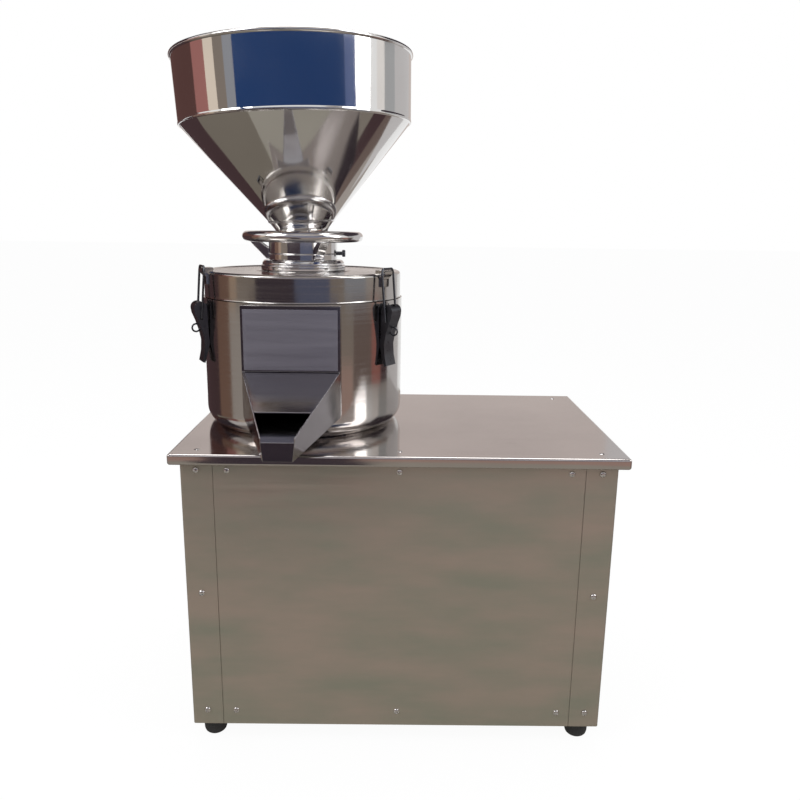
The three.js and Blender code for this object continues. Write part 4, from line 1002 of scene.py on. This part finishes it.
faces_front = Matrix.Rotation(math.pi / 2, 4, "X")
faces_back = Matrix.Rotation(-math.pi / 2, 4, "X")
panel_places = [(x, z) for z in (ROWS[0], ROWS[-1]) for x in (-PANEL_X, 0, PANEL_X)]
post_places = [(x, z) for z in ROWS for x in (-POST_X, POST_X)]
for name, face, turn in (
    ("front_screws", front_face, faces_front),
    ("back_screws", back_face, faces_back),
):
    places = [(cabinet_x + x, face, TABLE + z) for x, z in panel_places + post_places]
    screws(name, places, turn)
table_places = [
    (cabinet_x + x, y, TABLE)
    for x in (-POST_X, 0, POST_X)
    for y in (table_low.y / MM + TABLE_EDGE, table_high.y / MM - TABLE_EDGE)
]
screws("tabletop_screws", table_places, Matrix.Identity(4))

# %% [markdown]
# The feet are turned rubber domes: round below, upright above, with a thin ring on top.

# %% Feet
FOOT_STEPS = 64
for corner in ("front_left", "front_right", "rear_left", "rear_right"):
    node = "foot_" + corner
    low, high = (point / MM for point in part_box(node))
    radius = (high.x - low.x) / 2
    height = high.z - low.z
    foot = turned(
        [
            (0, 0),
            (radius * 0.5, 0, 3),
            (radius * 0.8, 2.2, 3),
            (radius * 0.94, 7, 3),
            (radius - 0.6, height * 0.7, 1),
            (radius, height * 0.78, 0.6),
            (radius, height - 1, 1),
            (0, height),
        ],
        FOOT_STEPS,
        closed=False,
    )
    middle = (low + high) / 2
    foot.transform(Matrix.Translation(Vector((middle.x, middle.y, low.z)) * MM))
    finished(foot, node + "_turned", node, rubber)

# %% [markdown]
# What lies inside or behind keeps the frame's own form. Copies with broken edges stand for the
# pieces that can be seen from the back or when the lid is lifted.

# %% Pieces seen from behind or with the lid lifted
for node, width in (
    ("switch_box", 1.2),
    ("start_button", 0.8),
    ("stop_button", 0.8),
    ("cable_gland", 0.6),
    ("upper_grinding_wheel", 0.6),
    ("lower_grinding_wheel", 0.6),
    ("wheel_carrier", 0.6),
    ("scraper", 0.3),
    ("feed_screw", 0.3),
):
    refined(node, node + "_refined", SLOT_FINISH[slot_of_node[node]], width)

# %% [markdown]
# The studio is plain: a pale floor that runs out of view, a white world and three soft lamps.
# The floor is shown nearly white to the camera and to mirrors, but part of what it shows is
# its own lit surface, so the machine's shadow stays on it.

# %% Floor
FLOOR_HALF = 30  # metres
FLOOR_GLOW = 0.95  # share of plain white in what is seen of the floor
FLOOR_WHITE = (0.92, 0.92, 0.92)
floor = bmesh.new()
bmesh.ops.create_grid(floor, x_segments=1, y_segments=1, size=FLOOR_HALF)
floor_mesh = as_mesh(floor, "floor")
floor_finish, floor_tree, floor_shader = new_material("floor_white", FLOOR_WHITE, 0, 0.9)
floor_mesh.materials.append(floor_finish)
linked(bpy.data.objects.new("floor", floor_mesh))


def seen_directly(tree):
    """1 for what the camera, a mirror or glass shows, and 0 for light that only falls."""
    path = tree.nodes.new("ShaderNodeLightPath")
    seen = maths(tree, "MAXIMUM", path.outputs["Is Camera Ray"], path.outputs["Is Glossy Ray"])
    return maths(tree, "MAXIMUM", seen, path.outputs["Is Transmission Ray"])


glow = floor_tree.nodes.new("ShaderNodeEmission")
glow.inputs["Color"].default_value = (1, 1, 1, 1)
floor_mix = floor_tree.nodes.new("ShaderNodeMixShader")
floor_out = floor_tree.nodes["Material Output"]
glowing = maths(floor_tree, "MULTIPLY", seen_directly(floor_tree), FLOOR_GLOW)
floor_tree.links.new(glowing, floor_mix.inputs["Fac"])
floor_tree.links.new(floor_shader.outputs["BSDF"], floor_mix.inputs[1])
floor_tree.links.new(glow.outputs["Emission"], floor_mix.inputs[2])
floor_tree.links.new(floor_mix.outputs["Shader"], floor_out.inputs["Surface"])
print("floor", 2 * FLOOR_HALF, "metres wide")

# %% World
WORLD_COLOUR = (0.97, 0.98, 1, 1)
WORLD_STRENGTH = 0.7
world = bpy.data.worlds.new("studio")
world.use_nodes = True
bpy.context.scene.world = world
tree = world.node_tree
tree.nodes.clear()
output = tree.nodes.new("ShaderNodeOutputWorld")
lighting = tree.nodes.new("ShaderNodeBackground")
lighting.inputs["Color"].default_value = WORLD_COLOUR
lighting.inputs["Strength"].default_value = WORLD_STRENGTH
backdrop = tree.nodes.new("ShaderNodeBackground")
backdrop.inputs["Color"].default_value = (1, 1, 1, 1)
mix = tree.nodes.new("ShaderNodeMixShader")
tree.links.new(seen_directly(tree), mix.inputs["Fac"])
tree.links.new(lighting.outputs["Background"], mix.inputs[1])
tree.links.new(backdrop.outputs["Background"], mix.inputs[2])
tree.links.new(mix.outputs["Shader"], output.inputs["Surface"])
print("world", world.name)

# %% [markdown]
# Polished metal shows what stands round it, and that gives mirror sheet its fields of colour.
# Boards stand for a workshop's walls, hangings and ground here, and only reflections see them.
# Each is a plain sheet that gives off an even colour, on a ring round the machine or flat.

# %% Helpers for the boards
BOARD_STEP = 5  # degrees between two points of a ring
HIDDEN_FROM = ("visible_camera", "visible_diffuse", "visible_shadow", "visible_transmission")


def reflected_only(bm, name, colour):
    """Makes a stage piece that gives off an even colour, and that only mirrors show."""
    mesh = as_mesh(bm, name)
    made, _, shader = new_material(name, (0, 0, 0), 0, 1)
    shader.inputs["Specular IOR Level"].default_value = 0
    shader.inputs["Emission Color"].default_value = (*colour, 1)
    shader.inputs["Emission Strength"].default_value = 1
    mesh.materials.append(made)
    item = linked(bpy.data.objects.new(name, mesh))
    for flag in HIDDEN_FROM:
        setattr(item, flag, False)


def arc(distance, start, end, height):
    """Points on a ring. Angles count from straight in front, to the right."""
    steps = max(2, round((end - start) / BOARD_STEP))
    angles = [math.radians(start + (end - start) * i / steps - 90) for i in range(steps + 1)]
    return [(distance * math.cos(a), distance * math.sin(a), height) for a in angles]


def board_ring(name, distance, foot, top, fields):
    """Upright boards on a ring, each from one angle to another and with its own colour."""
    for number, (start, end, colour) in enumerate(fields):
        bm = bmesh.new()
        chain(bm, arc(distance, start, end, foot), False)
        drawn_up(bm, top - foot)
        reflected_only(bm, f"{name}_{number}", colour)


def flat_board(name, outline, colour):
    bm = bmesh.new()
    chain(bm, outline, True)
    bmesh.ops.contextual_create(bm, geom=bm.edges[:])
    reflected_only(bm, name, colour)


def ground_wedge(name, start, end, near, far, height, colour):
    """A flat board just over the ground, between two angles and two distances."""
    inner = arc(near, start, end, height)
    flat_board(name, [*arc(far, start, end, height), *reversed(inner)], colour)


# %% Colours of the boards
DEEP_BLUE = (0.022, 0.055, 0.165)
FADED_BLUE = (0.1, 0.14, 0.3)
SHADOW = (0.07, 0.042, 0.045)
MAROON = (0.11, 0.055, 0.05)
DUSTY_RED = (0.38, 0.165, 0.15)
CREAM = (0.8, 0.69, 0.58)
IVORY = (0.93, 0.89, 0.86)
HAZE = (0.46, 0.465, 0.47)
COOL_GREY = (0.3, 0.31, 0.34)
WARM_GREY = (0.25, 0.21, 0.18)
PALE_GREY = (0.62, 0.6, 0.6)
ROSE_GREY = (0.62, 0.55, 0.52)
EARTH_GREY = (0.24, 0.21, 0.18)
MOSS_GREY = (0.2, 0.175, 0.145)
SAND = (0.35, 0.325, 0.28)
DUN = (0.22, 0.17, 0.155)
TAUPE = (0.42, 0.38, 0.36)
CLAY = (0.4, 0.27, 0.23)
WARM_BROWN = (0.2, 0.12, 0.09)
UMBER = (0.17, 0.125, 0.11)
OCHRE = (0.42, 0.31, 0.23)
BEIGE = (0.4, 0.36, 0.33)
BRICK = (0.31, 0.13, 0.11)
PLUM = (0.055, 0.042, 0.052)
SLATE = (0.11, 0.12, 0.18)
LAMPLIGHT = (1, 0.95, 0.94)

# %% [markdown]
# The rings stand at the heights that each mirror looks at: a high one for the hopper's band, and
# two low ones for the lid and the drum, with a skirting under them for the drum's foot. The blue
# hanging is close by and short, so that the band shows it and the tabletop doesn't.

# %% Upright boards
FAR_RING = 2600
NEAR_RING = 1700
SKIRTING_RING = 1690
CURTAIN_RING = 900
GROUND = 2
DRUM_VIEW = 505  # the lid's boards start here
HIGH_FOOT = 800
HIGH_TOP = 1640
board_ring("high_board", FAR_RING, HIGH_FOOT, HIGH_TOP, (
    (-180, -150, ROSE_GREY),
    (-150, -96, MAROON),
    (-96, -80, DUSTY_RED),
    (-80, -69, CREAM),
    (-69, -59, WARM_GREY),
    (-59, -50, COOL_GREY),
    (90, 101, IVORY),
    (101, 118, HAZE),
    (118, 156, PALE_GREY),
    (156, 180, ROSE_GREY),
))
board_ring("dark_frieze", FAR_RING, HIGH_TOP, 3500, ((-180, -100, PLUM), (100, 180, PLUM)))
board_ring("far_wall", FAR_RING, HIGH_FOOT, HIGH_TOP, ((-50, 64, ROSE_GREY),))
board_ring("curtain", CURTAIN_RING, 968, 1250, ((-52.1, 47, DEEP_BLUE), (47, 59.6, FADED_BLUE)))
board_ring("lid_board", NEAR_RING, DRUM_VIEW, 798, (
    (-150, -101, SHADOW),
    (-101, -84, WARM_BROWN),
    (-84, -74, OCHRE),
    (-74, -51, WARM_GREY),
    (-51, -8, PLUM),
    (-8, 32, SLATE),
    (32, 50, WARM_GREY),
    (50, 80, COOL_GREY),
    (80, 118, BEIGE),
    (118, 150, PALE_GREY),
))
board_ring("drum_board", NEAR_RING, GROUND, DRUM_VIEW, (
    (-150, -104, SHADOW),
    (-104, -84, WARM_BROWN),
    (-84, -60, BEIGE),
    (-60, -4, PLUM),
    (-4, 42, SLATE),
    (42, 61, WARM_GREY),
    (61, 88, UMBER),
    (88, 104, BRICK),
    (104, 118, SHADOW),
    (118, 150, PALE_GREY),
))
board_ring("skirting", SKIRTING_RING, GROUND, 270, ((-62, -22, CLAY), (-4, 60, CLAY)))
print("boards on rings of", FAR_RING, NEAR_RING, CURTAIN_RING)

# %% [markdown]
# The cone and the cabinet's panels look down, so they show the ground, in wedges of a few
# colours. The tabletop looks up at the ceiling, where a bright field sends a soft ray to the
# cone's right side.

# %% Ground and ceiling
CEILING = 3600
CEILING_HALF = 4  # metres
BRIGHT_FIELD = ((929, -657), (1500, -336), (2337, -99), (1459, -743))  # seen from above
for number, (start, end, colour) in enumerate((
    (-180, -140, DUN),
    (-140, -116, SHADOW),
    (-116, -66, MOSS_GREY),
    (-66, 66, SAND),
    (66, 112, EARTH_GREY),
    (112, 126, SHADOW),
    (126, 138, UMBER),
    (138, 180, BEIGE),
)):
    ground_wedge(f"ground_{number}", start, end, 5, 2400, 1, colour)
ground_wedge("dark_mat", -24, -3, 1150, 1700, 3, PLUM)
ceiling = bmesh.new()
bmesh.ops.create_grid(ceiling, x_segments=1, y_segments=1, size=CEILING_HALF)
bmesh.ops.translate(ceiling, verts=ceiling.verts, vec=(0, 0, CEILING * MM))
reflected_only(ceiling, "ceiling", TAUPE)
flat_board("skylight", [(x, y, CEILING - 10) for x, y in BRIGHT_FIELD], LAMPLIGHT)
print("ceiling at", CEILING)

# %% [markdown]
# Three large soft lamps light the machine from the left, the right and above. They shade the
# brushed panels gently, and leave a shadow on the floor.

# %% Lamps
LAMP_AIM = Vector((0, 0, 0.5))  # in metres, as the lamps' places and sizes are


def lamp(name, place, size, power):
    data = bpy.data.lights.new(name, "AREA")
    data.shape = "RECTANGLE"
    data.size, data.size_y = size
    data.energy = power
    item = linked(bpy.data.objects.new(name, data))
    item.location = place
    item.rotation_euler = (LAMP_AIM - Vector(place)).to_track_quat("-Z", "Y").to_euler()
    print(name, power, "watts")


lamp("lamp_left", (-2.2, -1.6, 2.4), (1.6, 2.0), 45)
lamp("lamp_right", (2.4, -1.0, 2.0), (1.4, 2.0), 32)
lamp("lamp_top", (0, 0.6, 3.2), (2.4, 1.6), 40)
bpy.context.scene.view_settings.view_transform = "Standard"
